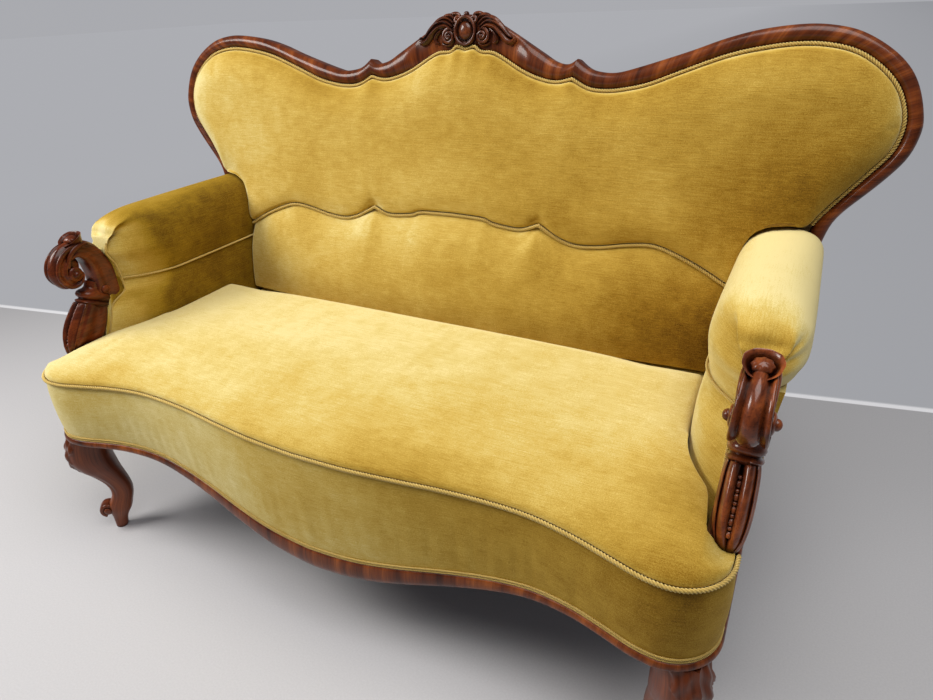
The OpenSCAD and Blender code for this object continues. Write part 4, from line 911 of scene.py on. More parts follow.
def settle(piece, pinned, cap):
    """The stuffing swells under the sewn-down cover: a short cloth simulation, each move held under cap."""
    mesh = piece.data
    rest = np.empty(len(mesh.vertices) * 3)
    mesh.vertices.foreach_get("co", rest)
    group = piece.vertex_groups.new(name="sewn_down")
    group.add([int(i) for i in np.nonzero(pinned)[0]], 1.0, "REPLACE")
    cloth = piece.modifiers.new("cover", "CLOTH")
    cloth.settings.quality = 4
    cloth.settings.effector_weights.gravity = 0
    cloth.settings.use_pressure = True
    cloth.settings.uniform_pressure_force = cloth_pressure
    cloth.settings.vertex_group_mass = group.name
    cloth.point_cache.frame_start, cloth.point_cache.frame_end = 1, cloth_frames
    for frame_number in range(1, cloth_frames + 1):
        scene.frame_set(frame_number)
    posed = piece.evaluated_get(bpy.context.evaluated_depsgraph_get()).data
    now = np.empty_like(rest)
    posed.vertices.foreach_get("co", now)
    move = (now - rest).reshape(-1, 3)
    move *= cap / (cap + np.linalg.norm(move, axis=1, keepdims=True))
    piece.modifiers.remove(cloth)
    piece.vertex_groups.remove(group)
    scene.frame_set(1)
    mesh.vertices.foreach_set("co", (rest.reshape(-1, 3) + move).ravel())
    mesh.update()
    smooth = piece.modifiers.new("smooth", "SUBSURF")
    smooth.levels = smooth.render_levels = 1


def sewn_grid(rings, ends, first, last):
    """Which points of a skin are sewn down: the end rings, and the first and last points of each ring."""
    n, m = len(rings), len(rings[0])
    ring, point = np.arange(n)[:, None], np.arange(m)[None, :]
    return ((ring < ends) | (ring >= n - ends) | (point < first) | (point >= last)).ravel()


# Seat border: the padded strip between the gimp and the welt, sewn along both edges.
# Its stuffing makes it bulge a little and pull in at the two cords.
cord_d, gap = 0.0065, 0.0003
border_shares = spline([
    (0.0, 0.0), (0.12, 0.06), (0.62, 0.22), (1.0, 0.52), (0.86, 0.80), (0.3, 0.955), (0.0, 1.0)
], 3)
border_bulge, border_top, border_cap = 0.005, seat_h - cord_d / 2 - gap, 0.003
border_line = resample(mirrored_line(front_half), 260)


def border_section(x):
    foot = gimp_z(x) + gap
    # The cover draws in at uneven intervals where it is tacked under the gimp
    pull = 0.0011 * np.sin(95 * x + 2 * np.sin(21 * x)) + 0.0007 * np.sin(233 * x)
    outer = [
        (q * border_bulge + pull * (1 - h) ** 2 * q, blend(foot, border_top, h)) for q, h in border_shares
    ]
    return [(-cover_t, foot), (-cover_t, border_top)] + outer[::-1]


border_rings = along_front(border_line, border_section)
border = loft("seat_border_padded", border_rings, plush_border)
sewn = [True, True] + [h < 0.08 or h > 0.94 for _, h in border_shares[::-1]]
settle(border, np.tile(sewn, len(border_rings)), border_cap)
fitted(border, "plush", "seat_border")

# Cords: each is three strands laid up with a tight twist, sewn along a seam.
# The welt runs along the seat edge, the gimp hides the tacks over the rail.
cord_golds = [
    (0.0, (0.42, 0.26, 0.05)), (0.4, (0.60, 0.41, 0.11)), (0.75, (0.74, 0.55, 0.19)),
    (1.0, (0.84, 0.68, 0.31)),
]
cord_material = cloth_material(
    "cord_gold", cord_golds, 0.1, lean=0.40, tips=0.55, coordinate="Object", bump=0.0006,
)
tree = cord_material.node_tree
# Painted shade in the grooves between the strands: the colour darkens towards dark brown where the strand
# attribute is low
strand = add_node(tree, "ShaderNodeAttribute", attribute_name="strand")
groove_shade = graded(tree, strand.outputs["Fac"], -1.0, 0.4, 0.55, 0.0)
base = tree.nodes["Principled BSDF"].inputs["Base Color"]
tree.links.new(mix_colour(tree, groove_shade, base.links[0].from_socket, (0.20, 0.115, 0.025, 1)), base)
strands, strand_depth, strand_middle = 3, 0.20, 0.84
lay_share, step_share = 2.1, 0.24


def geometry_group(name, given, numbers, result):
    """A Geometry Nodes group: geometry in, numbers and a material that a modifier sets, geometry out."""
    tree = bpy.data.node_groups.new(name, "GeometryNodeTree")
    tree.interface.new_socket(name=given, in_out="INPUT", socket_type="NodeSocketGeometry")
    kinds = [(label, "NodeSocketFloat") for label in numbers] + [("Material", "NodeSocketMaterial")]
    sockets = {
        label: tree.interface.new_socket(name=label, in_out="INPUT", socket_type=kind).identifier
        for label, kind in kinds
    }
    tree.interface.new_socket(name=result, in_out="OUTPUT", socket_type="NodeSocketGeometry")
    return tree, sockets, tree.nodes.new("NodeGroupInput").outputs, tree.nodes.new("NodeGroupOutput")


def geometry(tree, kind, inputs=None, **settings):
    """The first output of a geometry node."""
    return add_node(tree, "GeometryNode" + kind, inputs, **settings).outputs[0]


def finished(tree, out, made, material):
    """The end of a group: what it made, turned into plain geometry of one material."""
    real = geometry(tree, "RealizeInstances", {"Geometry": made})
    feed(tree, out, {0: geometry(tree, "SetMaterial", {"Geometry": real, "Material": material})})


def made_real(name, mesh, tree, sockets, values):
    """A piece that a group makes from a mesh of points or edges, kept as a plain mesh."""
    piece = new_piece(name, mesh)
    modifier = piece.modifiers.new("laid", "NODES")
    modifier.node_group = tree
    for label, value in values.items():
        modifier[sockets[label]] = value
    depsgraph = bpy.context.evaluated_depsgraph_get()
    solid = bpy.data.meshes.new_from_object(piece.evaluated_get(depsgraph), depsgraph=depsgraph)
    solid.name = name
    piece.modifiers.remove(modifier)
    piece.data = solid
    bpy.data.meshes.remove(mesh)
    return piece


cord_sizes = ("Diameter", "Lay", "Step")
strand_tree, strand_sockets, given, out = geometry_group("laid_cord", "Line", cord_sizes, "Cord")
tree = strand_tree
even = tree.nodes.new("GeometryNodeResampleCurve")
if "Mode" in even.inputs:
    even.inputs["Mode"].default_value = "Length"
else:
    even.mode = "LENGTH"
feed(tree, even, {"Curve": geometry(tree, "MeshToCurve", {"Mesh": given["Line"]}), "Length": given["Step"]})
turns = calc(tree, "DIVIDE", add_node(tree, "GeometryNodeSplineParameter").outputs["Length"], given["Lay"])
tilted = geometry(tree, "SetCurveTilt", {
    "Curve": even.outputs["Curve"], "Tilt": calc(tree, "MULTIPLY", turns, 2 * math.pi)
})
round_place = add_node(tree, "GeometryNodeSplineParameter").outputs["Factor"]
crest_of = calc(tree, "COSINE", calc(tree, "MULTIPLY", round_place, 2 * math.pi * strands))
lobe_scale = calc(tree, "MULTIPLY_ADD", crest_of, strand_depth, strand_middle)
scaled = add_node(tree, "ShaderNodeVectorMath", {0: geometry(tree, "InputPosition")}, operation="SCALE")
feed(tree, scaled, {"Scale": lobe_scale})
radius = calc(tree, "MULTIPLY", given["Diameter"], 0.5)
circle = geometry(tree, "CurvePrimitiveCircle", {"Resolution": 12, "Radius": radius})
lobes = geometry(tree, "SetPosition", {"Geometry": circle, "Position": scaled.outputs["Vector"]})
mark = {"Geometry": lobes, "Name": "strand", "Value": crest_of}
marked = geometry(tree, "StoreNamedAttribute", mark, data_type="FLOAT", domain="POINT")
cord = geometry(tree, "CurveToMesh", {"Curve": tilted, "Profile Curve": marked, "Fill Caps": True})
finished(tree, out, geometry(tree, "SetShadeSmooth", {"Geometry": cord}), given["Material"])


def laid_cord(name, points, diameter):
    """A twisted cord of that diameter along a row of points, made with Geometry Nodes and kept as a mesh."""
    mesh = bpy.data.meshes.new(name + "_line")
    mesh.from_pydata(np.asarray(points, float).tolist(), [(i, i + 1) for i in range(len(points) - 1)], [])
    piece = made_real(name, mesh, strand_tree, strand_sockets, {
        "Diameter": diameter, "Lay": lay_share * diameter, "Step": step_share * diameter,
        "Material": cord_material,
    })
    worked(piece.data, face_outwards)
    return piece


def raised(line, w, z):
    """A plan line moved outwards by w at a height, or at a height for each x."""
    heights = z(line[:, 0]) if callable(z) else np.full(len(line), z)
    return np.column_stack([offset_line(line, w), heights])


welt_out, welt_up, gimp_out, gimp_cord_d, gimp_rows = 0.0030, 0.0022, 0.0019, 0.0040, (0.0016, 0.0064)
welt = laid_cord("seat_welt_cord", raised(border_line, welt_out, seat_h + welt_up), cord_d * 1.2)
fitted(welt, "piping_cord", "seat_welt")
gimp_parts = [
    laid_cord("gimp", raised(border_line, gimp_out, lambda x, row=row: gimp_z(x) + gap + row), gimp_cord_d)
    for row in gimp_rows
]
fitted(joined("rail_gimp_braid", gimp_parts), "piping_cord", "rail_gimp")

# Seat: springs, stuffing and calico under one plush cover, rolled over the front edge.
# It domes towards the middle, dips into the tuck in front of the back and falls away under the arm posts.
seat_rise, roll_r, crown_l, roll_share = 0.046, 0.060, 0.260, 0.52
arm_in_x, arm_out_x, arm_w, arm_h, arm_y = 0.630, 0.781, 0.151, 0.758, -0.309
arm_rise, post_x, arm_post_w = arm_h - seat_h, 0.724, 0.050
edge_z, lip_t, cover_cap = 0.46355, 0.002, 0.006
tuck_y, tuck_z, tuck_l = back_y - 0.120, seat_h - 0.0075, 0.046
ear_x, post_fall = post_x - 0.62 * arm_post_w, 0.062
flare_w, flare_l, flare_power = 0.070, 0.140, 2.2
arm_edge = np.array([
    (0, 0.224), (0.01, 0.224), (0.058, 0.273), (0.151, 0.328), (0.229, 0.361), (0.294, 0.385), (0.333, 0.420),
    (0.385, 0.542), (0.51, 0.542), (0.624, 0.524), (0.728, 0.470), (0.791, 0.500), (0.863, 0.503),
    (0.921, 0.447), (1.009, 0.437),
]) * arm_rise + (seat_h, arm_y)


def arm_front(z):
    return np.interp(z, arm_edge[:, 0], arm_edge[:, 1])


def arm_back(z):
    return face_y(z, wood_swell + gap)


def soft_min(a, b):
    """The smaller of two distances, with the crease between them rounded."""
    return (np.maximum(a, 1e-5) ** -4 + np.maximum(b, 1e-5) ** -4) ** -0.25


def crown(x, y):
    """Height of the seat's cover."""
    near = soft_min(y - edge_y(x), 0.85 * (seat_half - x))
    roll = seat_rise * roll_share * round_off(near / roll_r)
    dome = seat_rise * (1 - roll_share) * ease(soft_min(y - edge_y(x), 2 * (seat_half - x)) / crown_l)
    fall = 1 - ease((x - ear_x) / (ear_x / 20)) * (1 - np.clip((ear_y - y) / post_fall, 0, 1))
    # Soft hollows and hills of old stuffing
    worn = 0.0022 * np.sin(7.3 * x + 0.8) * np.sin(9.1 * y + 1.7) * ease(near / 0.12)
    return blend(edge_z + lip_t + (roll + dome) * fall + worn, tuck_z, ease((y - tuck_y + tuck_l) / tuck_l))


arm_seat_front = float(arm_front(seat_h + 0.1 * arm_rise))
cushion_back, cushion_foot, cushion_side = back_y - frame_t / 2, 0.3868, arm_in_x - 0.0075
cover_inset, flare_back = cover_t + 0.006, 0.0114
under_x, under_line = seat_half - cover_inset, offset_line(front_half, -cover_inset)
columns = [(x, cushion_back, True) for x in np.linspace(0, cushion_side, 54)]
arm_foot_column = len(columns)
columns += [
    (blend(arm_in_x, ear_x, q), arm_seat_front + flare_l * (1 - q ** (1 / flare_power)) - flare_back, True)
    for q in (0.003, 0.01, 0.03, 0.06, 0.11, 0.18, 0.27, 0.38, 0.52, 0.70, 0.88)
]
columns += [(blend(ear_x, under_x, q), ear_y, True) for q in (0.02, 0.2, 0.38, 0.55, 0.7, 0.84, 0.93, 0.98)]
columns += [(blend(under_x, seat_half, q), ear_y, False) for q in (0.12, 0.4, 0.7, 0.9)]
front_rows = np.concatenate([np.linspace(0, 1, 9)[:-1] ** 1.7 * 0.14, np.linspace(0.14, 1, 34)])
rear_rows = np.linspace(0, 1, 24)[1:]
arm_foot_y = columns[arm_foot_column][1]
rings = []
for x, rear, deep in columns:
    lip = float(edge_y(x))
    y = blend(lip, min(rear, arm_foot_y), front_rows)
    if rear > arm_foot_y:
        y = np.concatenate([y, blend(arm_foot_y, rear, rear_rows)])
    top = np.column_stack([np.full(len(y), x), y, crown(x, y)])
    if rear <= arm_foot_y:
        # Beside the arm the same rows run down the rear wall
        fall_to = (cushion_foot if deep else edge_z - gap) + lip_t
        top = np.vstack([top, [(x, rear, blend(top[-1][2], fall_to, q)) for q in rear_rows]])
    under = float(np.interp(x, under_line[:, 0], under_line[:, 1]))
    if deep:
        below = [(x, rear, cushion_foot), (x, under, cushion_foot), (x, under, edge_z), (x, lip, edge_z)]
    else:
        below = [(x, blend(lip, rear, q), edge_z - (gap if q > 0 else 0)) for q in (1, 2 / 3, 1 / 3, 0)]
    rings.append(np.vstack([top, below]))
rings = mirrored_rings(rings)
seat = loft("seat_cover_plush", rings, plush_seat)
settle(seat, sewn_grid(rings, 24, 3, len(front_rows) + len(rear_rows) - 4), cover_cap)
fitted(seat, "plush", "seat_cushion")

# Back: webbing, hessian and stuffing under two plush panels that meet at a piped seam.
# The seam rises to a mitred peak on each side, where the plush is gathered into puckers.
seam_h_max, seam_t, lumbar_t, upper_t, shoulder_t = 0.256, 0.058, 0.120, 0.076, 0.042
seam_inner = [(0, 1.0), (0.13, 0.99), (0.17, 0.957), (0.26, 0.934), (0.30, 0.95), (0.344, 0.992)]
seam_outer = [
    (0.344, 0.992), (0.389, 0.934), (0.433, 0.883), (0.49, 0.852), (0.57, 0.867), (0.667, 0.914),
    (0.746, 0.930), (0.817, 0.883), (0.905, 0.793), (0.984, 0.690), (1.0, 0.675),
]
seam_scale = np.array([arm_in_x, seam_h_max])
seam_half = np.vstack([spline(seam_inner * seam_scale, 6), spline(seam_outer * seam_scale, 6)[1:]])
seam_lip, pad_base, tuck_lift, lumbar_hollow = 0.55 * cord_d, 0.0013, 0.003, 0.040
peak_x, peak_s = seam_outer[0] * seam_scale


def seam_s(x):
    return np.interp(np.abs(x), seam_half[:, 0], seam_half[:, 1])


def gathered(x, s, side):
    """Depth taken away round the peak of the seam: a dimple with folds that run out from it."""
    dx, ds = np.abs(x) - peak_x, s - peak_s
    r = np.hypot(dx, ds)
    fan = np.cos(9 * np.arctan2(ds * side, dx) + 0.7 * np.sin(40 * dx))
    return 0.010 * np.exp(-(r / 0.020) ** 2) + 0.0030 * fan * np.exp(-r / 0.030) * ease(r / 0.008)


def panel_ring(x, s_row, d_row):
    """A row of the padding with its two corners on the hessian."""
    corners = [back_pt(x, s, pad_base) for s in (s_row[-1], s_row[0])]
    return np.vstack([back_pt(x, s_row, d_row), *corners])


lumbar_x = arm_in_x - 0.003
lumbar_shares = spline([
    (0, 0.92), (0.06, 0.99), (0.2, 1.0), (0.4, 0.97), (0.6, 0.86), (0.78, 0.62), (0.9, 0.34),
    (0.97, 0.12), (1.0, 0.0),
], 5)
up, fullness = lumbar_shares.T
rings = []
for x in np.linspace(-lumbar_x, lumbar_x, 129):
    s_row = blend(slope(tuck_z) + tuck_lift, float(seam_s(x)) - seam_lip, up)
    d_row = blend(seam_t, lumbar_t - lumbar_hollow * (x / lumbar_x) ** 2, fullness) - gathered(x, s_row, -1)
    d_row += 0.0012 * np.sin(60 * x + 3 * np.sin(9 * x)) * up ** 3 * (1 - up) * 4
    rings.append(panel_ring(x, s_row, d_row))
lumbar = loft("back_lumbar_plush", rings, plush_lumbar)
settle(lumbar, sewn_grid(rings, 2, 2, len(up) - 2), cover_cap)
fitted(lumbar, "plush", "back_lumbar_pad")

pad_inset, pad_edge_t, pad_roll, roof_gap, tip_half = cord_d + 0.0005, 0.005, 0.064, 0.001, 0.004
wood_line = np.vstack([crest_in, shoulder_in[1:], stile_in[1:]])
pad_line = offset_line(wood_line, pad_inset)
tip = int(np.argmax(pad_line[:, 0]))
far_x, far_s = pad_line[tip]
upper_edge, lower_edge = pad_line[:tip + 1], pad_line[:tip - 1:-1]
lower_edge = lower_edge[lower_edge[:, 1] > seam_h_max]
reached = np.maximum.accumulate(upper_edge[:, 0])
upper_edge = upper_edge[np.concatenate([[True], reached[1:] > reached[:-1]])]
arm_pad_shares = np.array([
    (0.08, 0.63, 1), (0.01, 0.73, 1), (0.0, 0.83, 1), (0.04, 0.915, 1), (0.17, 0.975, 0), (0.42, 1.0, 0),
    (0.68, 0.985, 0), (0.87, 0.93, -1), (0.96, 0.84, -1), (1.0, 0.72, -1), (0.99, 0.60, -1),
    (0.955, 0.50, -1), (0.955, 0.474, -1), (1.0, 0.37, -1), (1.01, 0.20, -1), (1.0, 0.05, -1),
    (0.98, -0.19, -1),
])
roof = np.array([
    (arm_out_x - q[0] * arm_w, slope(seat_h + q[1] * arm_rise)) for q in arm_pad_shares[::-1] if q[1] > 0.7
])


def pad_top(x):
    return max(float(np.interp(x, upper_edge[:, 0], upper_edge[:, 1])), far_s + tip_half)


def pad_foot(x):
    if x < arm_in_x:
        return float(seam_s(x)) + seam_lip
    on_arm = float(np.interp(x + roof_gap / 2, roof[:, 0], roof[:, 1])) + roof_gap
    on_stile = float(np.interp(x, lower_edge[:, 0], lower_edge[:, 1])) if x > lower_edge[0][0] else 0
    return min(max(on_arm, on_stile), far_s - tip_half)


def from_wood(x, s):
    """Distances of the points of a row from the edge of the show-wood."""
    p = np.column_stack([np.full(len(s), x), s])
    a, e = wood_line[:-1], np.diff(wood_line, axis=0)
    t = np.clip(((p[:, None] - a) * e).sum(axis=2) / (e * e).sum(axis=1), 0, 1)
    return np.linalg.norm(p[:, None] - a - t[..., None] * e, axis=2).min(axis=1)


def pad_depth(x, s):
    rise = np.clip((s - seam_s(x)) / (back_rise / 2), 0, 1)
    full = blend(upper_t, shoulder_t, 1 - (1 - rise) ** 1.6)
    seam = round_off((s - seam_s(x) - seam_lip) / (pad_roll / 2))
    return blend(pad_edge_t, blend(seam_t, full, seam), round_off((from_wood(x, s) - pad_inset) / pad_roll))


rows = np.linspace(0, 1, 44)
rows = blend(0.5 - 0.5 * np.cos(np.pi * rows), rows, 0.35)
inner_columns = 64
pad_columns = np.concatenate([
    np.linspace(0, arm_in_x - gap, inner_columns), [arm_in_x + gap],
    blend(arm_in_x, far_x, np.sin(np.linspace(0, np.pi / 2, 30)[1:])),
])
s_rows = [blend(pad_foot(x), pad_top(x), rows) for x in pad_columns]
depths = np.array([pad_depth(x, s_row) for x, s_row in zip(pad_columns, s_rows)])
for part in (depths[:inner_columns], depths[inner_columns + 1:]):
    for _ in range(30):
        # The stuffing evens out what the outline would crease
        part[1:-1, 2:-2] = 0.5 * part[1:-1, 2:-2] + 0.25 * (part[:-2, 2:-2] + part[2:, 2:-2])
rings = mirrored_rings([
    panel_ring(x, s_row, d_row - gathered(x, s_row, 1) * ease((s_row - s_row[0]) / 0.004))
    for x, s_row, d_row in zip(pad_columns, s_rows, depths)
])
upper = loft("back_upper_plush", rings, plush_back)
settle(upper, sewn_grid(rings, 4, 3, len(rows) - 3), cover_cap)
fitted(upper, "plush", "back_upper_pad")

# Piping of the back: gold cord laid up like the welt, sewn down by hand after the panels were tacked.
# One cord lies between the plush and the show-wood, one along the lumbar seam.


def face_cord(name, line, depth, diameter, node):
    """A cord sewn along a line of the back's leaning face."""
    fitted(laid_cord(name, back_pt(line[:, 0], line[:, 1], depth), diameter), "piping_cord", node)


piping_foot = slope(arm_h) - roof_gap
piping_line = offset_line(wood_line[wood_line[:, 1] > piping_foot], cord_d / 2 + 0.0006)
face_cord("back_piping_cord", mirrored_line(piping_line), pad_edge_t + 0.0032, cord_d * 1.22, "back_piping")
seam_line = mirrored_line(seam_half[seam_half[:, 0] < lumbar_x])
face_cord("lumbar_seam_cord", seam_line, seam_t + 0.0030, cord_d * 1.25, "lumbar_piping")

# Arms: a stuffed roll over the arm rail runs from the carved post to the back.
# A thin cord lies in the crease under the roll, and the front end closes in on the post.
arm_rail_x, arm_rail_z, arm_rail_w, arm_rail_h = 0.7063, seat_h + 0.625 * arm_rise, 0.036, 0.040
arm_section = spline(arm_pad_shares, 4)
arm_run = float(arm_back(seat_h + arm_rise / 2) - arm_front(seat_h + arm_rise / 2))
crease_share, arm_cord_d, pad_wall = (0.955, 0.487, -1), 0.75 * cord_d, 0.024
roll_centre = np.array([post_x, seat_h + 0.74 * arm_rise])
draw_in, draw_in_l, top_fall, top_fall_l, top_from = 0.028, 0.080, 0.044, 0.120, 0.8
rail_in, rail_out = arm_rail_x - gap, arm_rail_x + arm_rail_w + gap
rail_low, rail_high, rail_tuck = arm_rail_z - gap, arm_rail_z + arm_rail_h + gap, arm_rail_z + gap


def closing(w, length):
    return (1 - np.clip(w / length, 0, 1)) ** flare_power


def pad_x(q, w):
    across = arm_out_x - q[0] * arm_w - draw_in * closing(w, draw_in_l) * np.clip(q[2], 0, 1)
    return across + flare_w * closing(w, flare_l) * np.clip(-q[2], 0, 1)


def pad_z(q, w):
    fall = max(q[1] - top_from, 0) / (1 - top_from) * top_fall * closing(w, top_fall_l)
    return seat_h + q[1] * arm_rise - fall


def roll_point(k, q, w):
    """Point k of the roll at w from its front end."""
    out = np.array([pad_x(q, w), pad_z(q, w)]) - roll_centre
    high = float(ease((q[1] - 0.45) / 0.25))
    # The end of the roll is rounded, and folds fan out over it from the carved post
    tuck = 1 - 0.26 * high * (1 - float(round_off(w / 0.024)))
    fold = 0.0042 * math.cos(2 * math.pi * k / 5.3) * math.exp(-w / 0.030) * high * float(ease(w / 0.008))
    return out * tuck + out / max(np.linalg.norm(out), 0.01) * fold + roll_centre


stations = np.concatenate([np.linspace(0, 1, 20)[:-1] ** 1.8 * 0.28, np.linspace(0.28, 1, 28)])
for side, label in sides:
    rings = []
    for v in stations:
        w = v * arm_run
        loop = [roll_point(k, q, w) for k, q in enumerate(arm_section)]
        loop += [(pad_x(q, w) + pad_wall, pad_z(q, w)) for q in arm_pad_shares[:9:-1]]
        loop += [(rail_in, rail_low), (rail_in, rail_high), (rail_out, rail_high), (rail_out, rail_tuck)]
        rings.append([(side * x, blend(arm_front(z), arm_back(z), v), z) for x, z in loop])
    # Each arm takes its own copy of the plush, with painted light and shade
    pad = loft(f"arm_roll_plush_{label}", rings, plush_left_painted_shade if side < 0 else plush_right_light_and_shade)
    skin = len(arm_section)
    creased = np.zeros(len(rings[0]), bool)
    creased[:skin] = np.abs(arm_section[:, 1] - crease_share[1]) < 0.02
    settle(pad, sewn_grid(rings, 2, 2, skin - 2) | np.tile(creased, len(rings)), cover_cap)
    fitted(pad, "plush", f"arm_pad_{label}")
    cord_line = []
    for v in np.linspace(0, 1, 60):
        w = v * arm_run
        z = float(pad_z(crease_share, w))
        lean = flare_w * flare_power / flare_l * (1 - min(w / flare_l, 1)) ** (flare_power - 1)
        off = (arm_cord_d / 2 + 0.0009) * math.hypot(1, lean)
        y = blend(arm_front(z) + gap, arm_back(z) - gap, v)
        cord_line.append((side * (pad_x(crease_share, w) - off), y, z))
    fitted(laid_cord(f"arm_crease_cord_{label}", cord_line, arm_cord_d), "piping_cord", f"arm_piping_{label}")

# Arm posts: carved mahogany, a scroll over a bound collar and a fluted drop.
# A leaf cup with a ribbed lobe crowns the scroll, buttons close its eye, and beads fill the middle flute.
scroll_shares = [
    (0.365, 0.30, 0.100, 0.90), (0.395, 0.36, 0.104, 0.94), (0.41, 0.401, 0.104, 1), (0.422, 0.503, 0.094, 1),
    (0.416, 0.621, 0.091, 1), (0.372, 0.739, 0.078, 1), (0.285, 0.805, 0.06, 1), (0.195, 0.796, 0.054, 1.02),
    (0.128, 0.739, 0.052, 1.08), (0.104, 0.661, 0.05, 1.14), (0.14, 0.595, 0.046, 1.20),
    (0.198, 0.589, 0.037, 1.24), (0.231, 0.63, 0.029, 1.24), (0.213, 0.666, 0.023, 1.15),
]
drop_shares = [
    (0.296, 0.392, 0.070, 0.62), (0.288, 0.374, 0.098, 0.84), (0.278, 0.352, 0.116, 0.97),
    (0.248, 0.302, 0.13, 1.06), (0.192, 0.213, 0.144, 1.10), (0.135, 0.135, 0.139, 1.08),
    (0.086, 0.080, 0.118, 1.0), (0.045, 0.042, 0.088, 0.86), (0.016, 0.018, 0.052, 0.62),
    (0.003, 0.008, 0.018, 0.30),
]
collar_rings = [
    (0, 0.70), (0.10, 0.78), (0.20, 0.97), (0.30, 1.10), (0.42, 1.15), (0.54, 1.10), (0.61, 0.97),
    (0.655, 0.90), (0.70, 0.95), (0.745, 1.08), (0.80, 1.12), (0.86, 1.07), (0.92, 0.97), (1.0, 0.88),
]
leaf_shares = spline([
    (0.365, 0.835, 0.2), (0.330, 0.845, 0.6), (0.272, 0.838, 1), (0.214, 0.805, 1), (0.176, 0.752, 0.85),
    (0.166, 0.705, 0.6), (0.186, 0.682, 0.35),
], 6)
# Distance along the cup's axis and radius, and how far each ring follows the shape of the rim
cup_rings = [
    (-0.010, 0.0100, 0), (0.000, 0.0165, 0), (0.008, 0.0205, 0.2), (0.014, 0.0232, 0.7), (0.018, 0.0262, 1.0),
    (0.0195, 0.0268, 1.05), (0.0192, 0.0245, 1.02), (0.014, 0.0205, 0.8), (0.008, 0.0170, 0.4),
    (0.004, 0.010, 0.1), (0.003, 0.002, 0),
]
lobe_rings = [(0.0, 0.35), (0.15, 0.62), (0.38, 0.88), (0.60, 0.97), (0.80, 0.80), (0.93, 0.48), (1.0, 0.06)]
collar_top, collar_foot, eye_share = (0.345, 0.468), (0.279, 0.340), (0.19, 0.65)
bead_start, bead_end, bead_lengths, bead_r, bead_gap = 0.030, 0.86, (0.0068, 0.0118), 0.0043, 0.0006
stump_in, stump_out, stump_rise = 0.695, 0.7277, 0.085
post_cord_d, post_cord_span, post_cord_off = 0.0044, (0.02, 0.80), 0.0015
ball = [(-math.cos(t), math.sin(t)) for t in np.linspace(0, math.pi, 13)]


def bump(v, at, width):
    return np.exp(-((np.abs(v) - at) / width) ** 2)


def post_point(depth, height, across=0.0):
    """A point of the right post; across is a share of half its width."""
    return np.array([post_x + across * arm_post_w / 2, arm_y + depth * arm_rise, seat_h + height * arm_rise])


def carved_strand(name, shares, fine, front_of, side_of):
    """A fluted strand along rows of depth, height, thickness and width; two functions carve its section."""
    rows = spline(shares, fine)
    sections = []
    for _, _, thick, wide in rows:
        a, b = thick * arm_rise, wide * arm_post_w / 2
        q = squarish(a, b, 72, 0.66)
        u, v = q[:, 1] / b, q[:, 0] / a
        sections.append(q * np.stack([np.where(v > 0, front_of(u), 1), side_of(v)], axis=1))
    path = np.array([post_point(*row[:2]) for row in rows])
    return loft(name, swept(path, sections, (1, 0, 0)), carved_mahogany), path, rows


def turned(name, centre, axis, profile, n):
    """A turned form: profile rows are distance along the axis and radius, in metres."""
    axis = np.asarray(axis, float) / np.linalg.norm(axis)
    side = np.array([1.0, 0, 0]) if abs(axis[0]) < 0.9 else np.array([0, 1.0, 0])
    side -= axis * (side @ axis)
    side /= np.linalg.norm(side)
    turn = np.outer(np.cos(full_turn(n)), side) + np.outer(np.sin(full_turn(n)), np.cross(axis, side))
    return loft(name, [centre + h * axis + max(r, 1e-4) * turn for h, r in profile], carved_mahogany)


def boss(name, centre, length, radius, n):
    """A flattened ball that faces sideways."""
    return turned(name, centre, (1, 0, 0), [(h * length, r * radius) for h, r in ball], n)


def beads(path, rows):
    """Beads in the middle flute of the drop, long and short in turn."""
    along, ahead = running(path), heading(path)
    at, parts = bead_start, []
    while at < along[-1] * bead_end:
        length = bead_lengths[len(parts) % 2]
        middle = at + length / 2
        where, t = (np.array([np.interp(middle, along, q[:, c]) for c in range(3)]) for q in (path, ahead))
        out = np.cross(t, (1, 0, 0)) * float(np.interp(middle, along, rows[:, 2])) * arm_rise * 0.83
        profile = [(h * length / 2, r ** 0.6 * bead_r) for h, r in ball[::2]]
        parts.append(turned("bead", where + out, t, profile, 12))
        at += length + bead_gap
    return parts


def leaf_cup():
    """The cup's rim dips in front and stands up at the sides, round a ribbed lobe."""
    at, axis = post_point(0.352, 0.806) + (0, -0.012, 0.006), np.array([0, -0.34, 0.94])
    axis /= np.linalg.norm(axis)
    t, side = full_turn(64), np.array([1.0, 0, 0])
    back = np.cross(axis, side)
    lip = 0.16 * np.clip(-np.sin(t), 0, 1) ** 2
    lift = 0.45 + 0.55 * np.clip(np.abs(np.cos(t)) ** 2 + 0.8 * np.clip(np.sin(t), 0, 1), 0, 1.2)
    frill, ribs = 0.012 * np.cos(9 * t), 0.055 * np.cos(8 * t)
    cup, lobe = [], []
    for h, r, rise in cup_rings:
        level, reach = h + 0.010 * rise * (lift - 0.5), r * (1 + frill * rise) * (1 + lip * rise)
        round_cup = np.outer(np.cos(t), side) + np.outer(0.92 * np.sin(t), back)
        cup.append(at + level[:, None] * axis + reach[:, None] * round_cup)
    for h, r in lobe_rings:
        reach = 0.0160 * r * (1 + ribs * (h > 0.1))
        round_lobe = np.outer(np.cos(t), side) + np.outer(0.95 * np.sin(t), back)
        lobe.append(at + (0.002 + 0.0250 * h) * axis + reach[:, None] * round_lobe + (0, -0.004 * h, 0))
    return [loft("cup", cup, carved_mahogany), loft("lobe", spline(lobe, 3), carved_mahogany)]


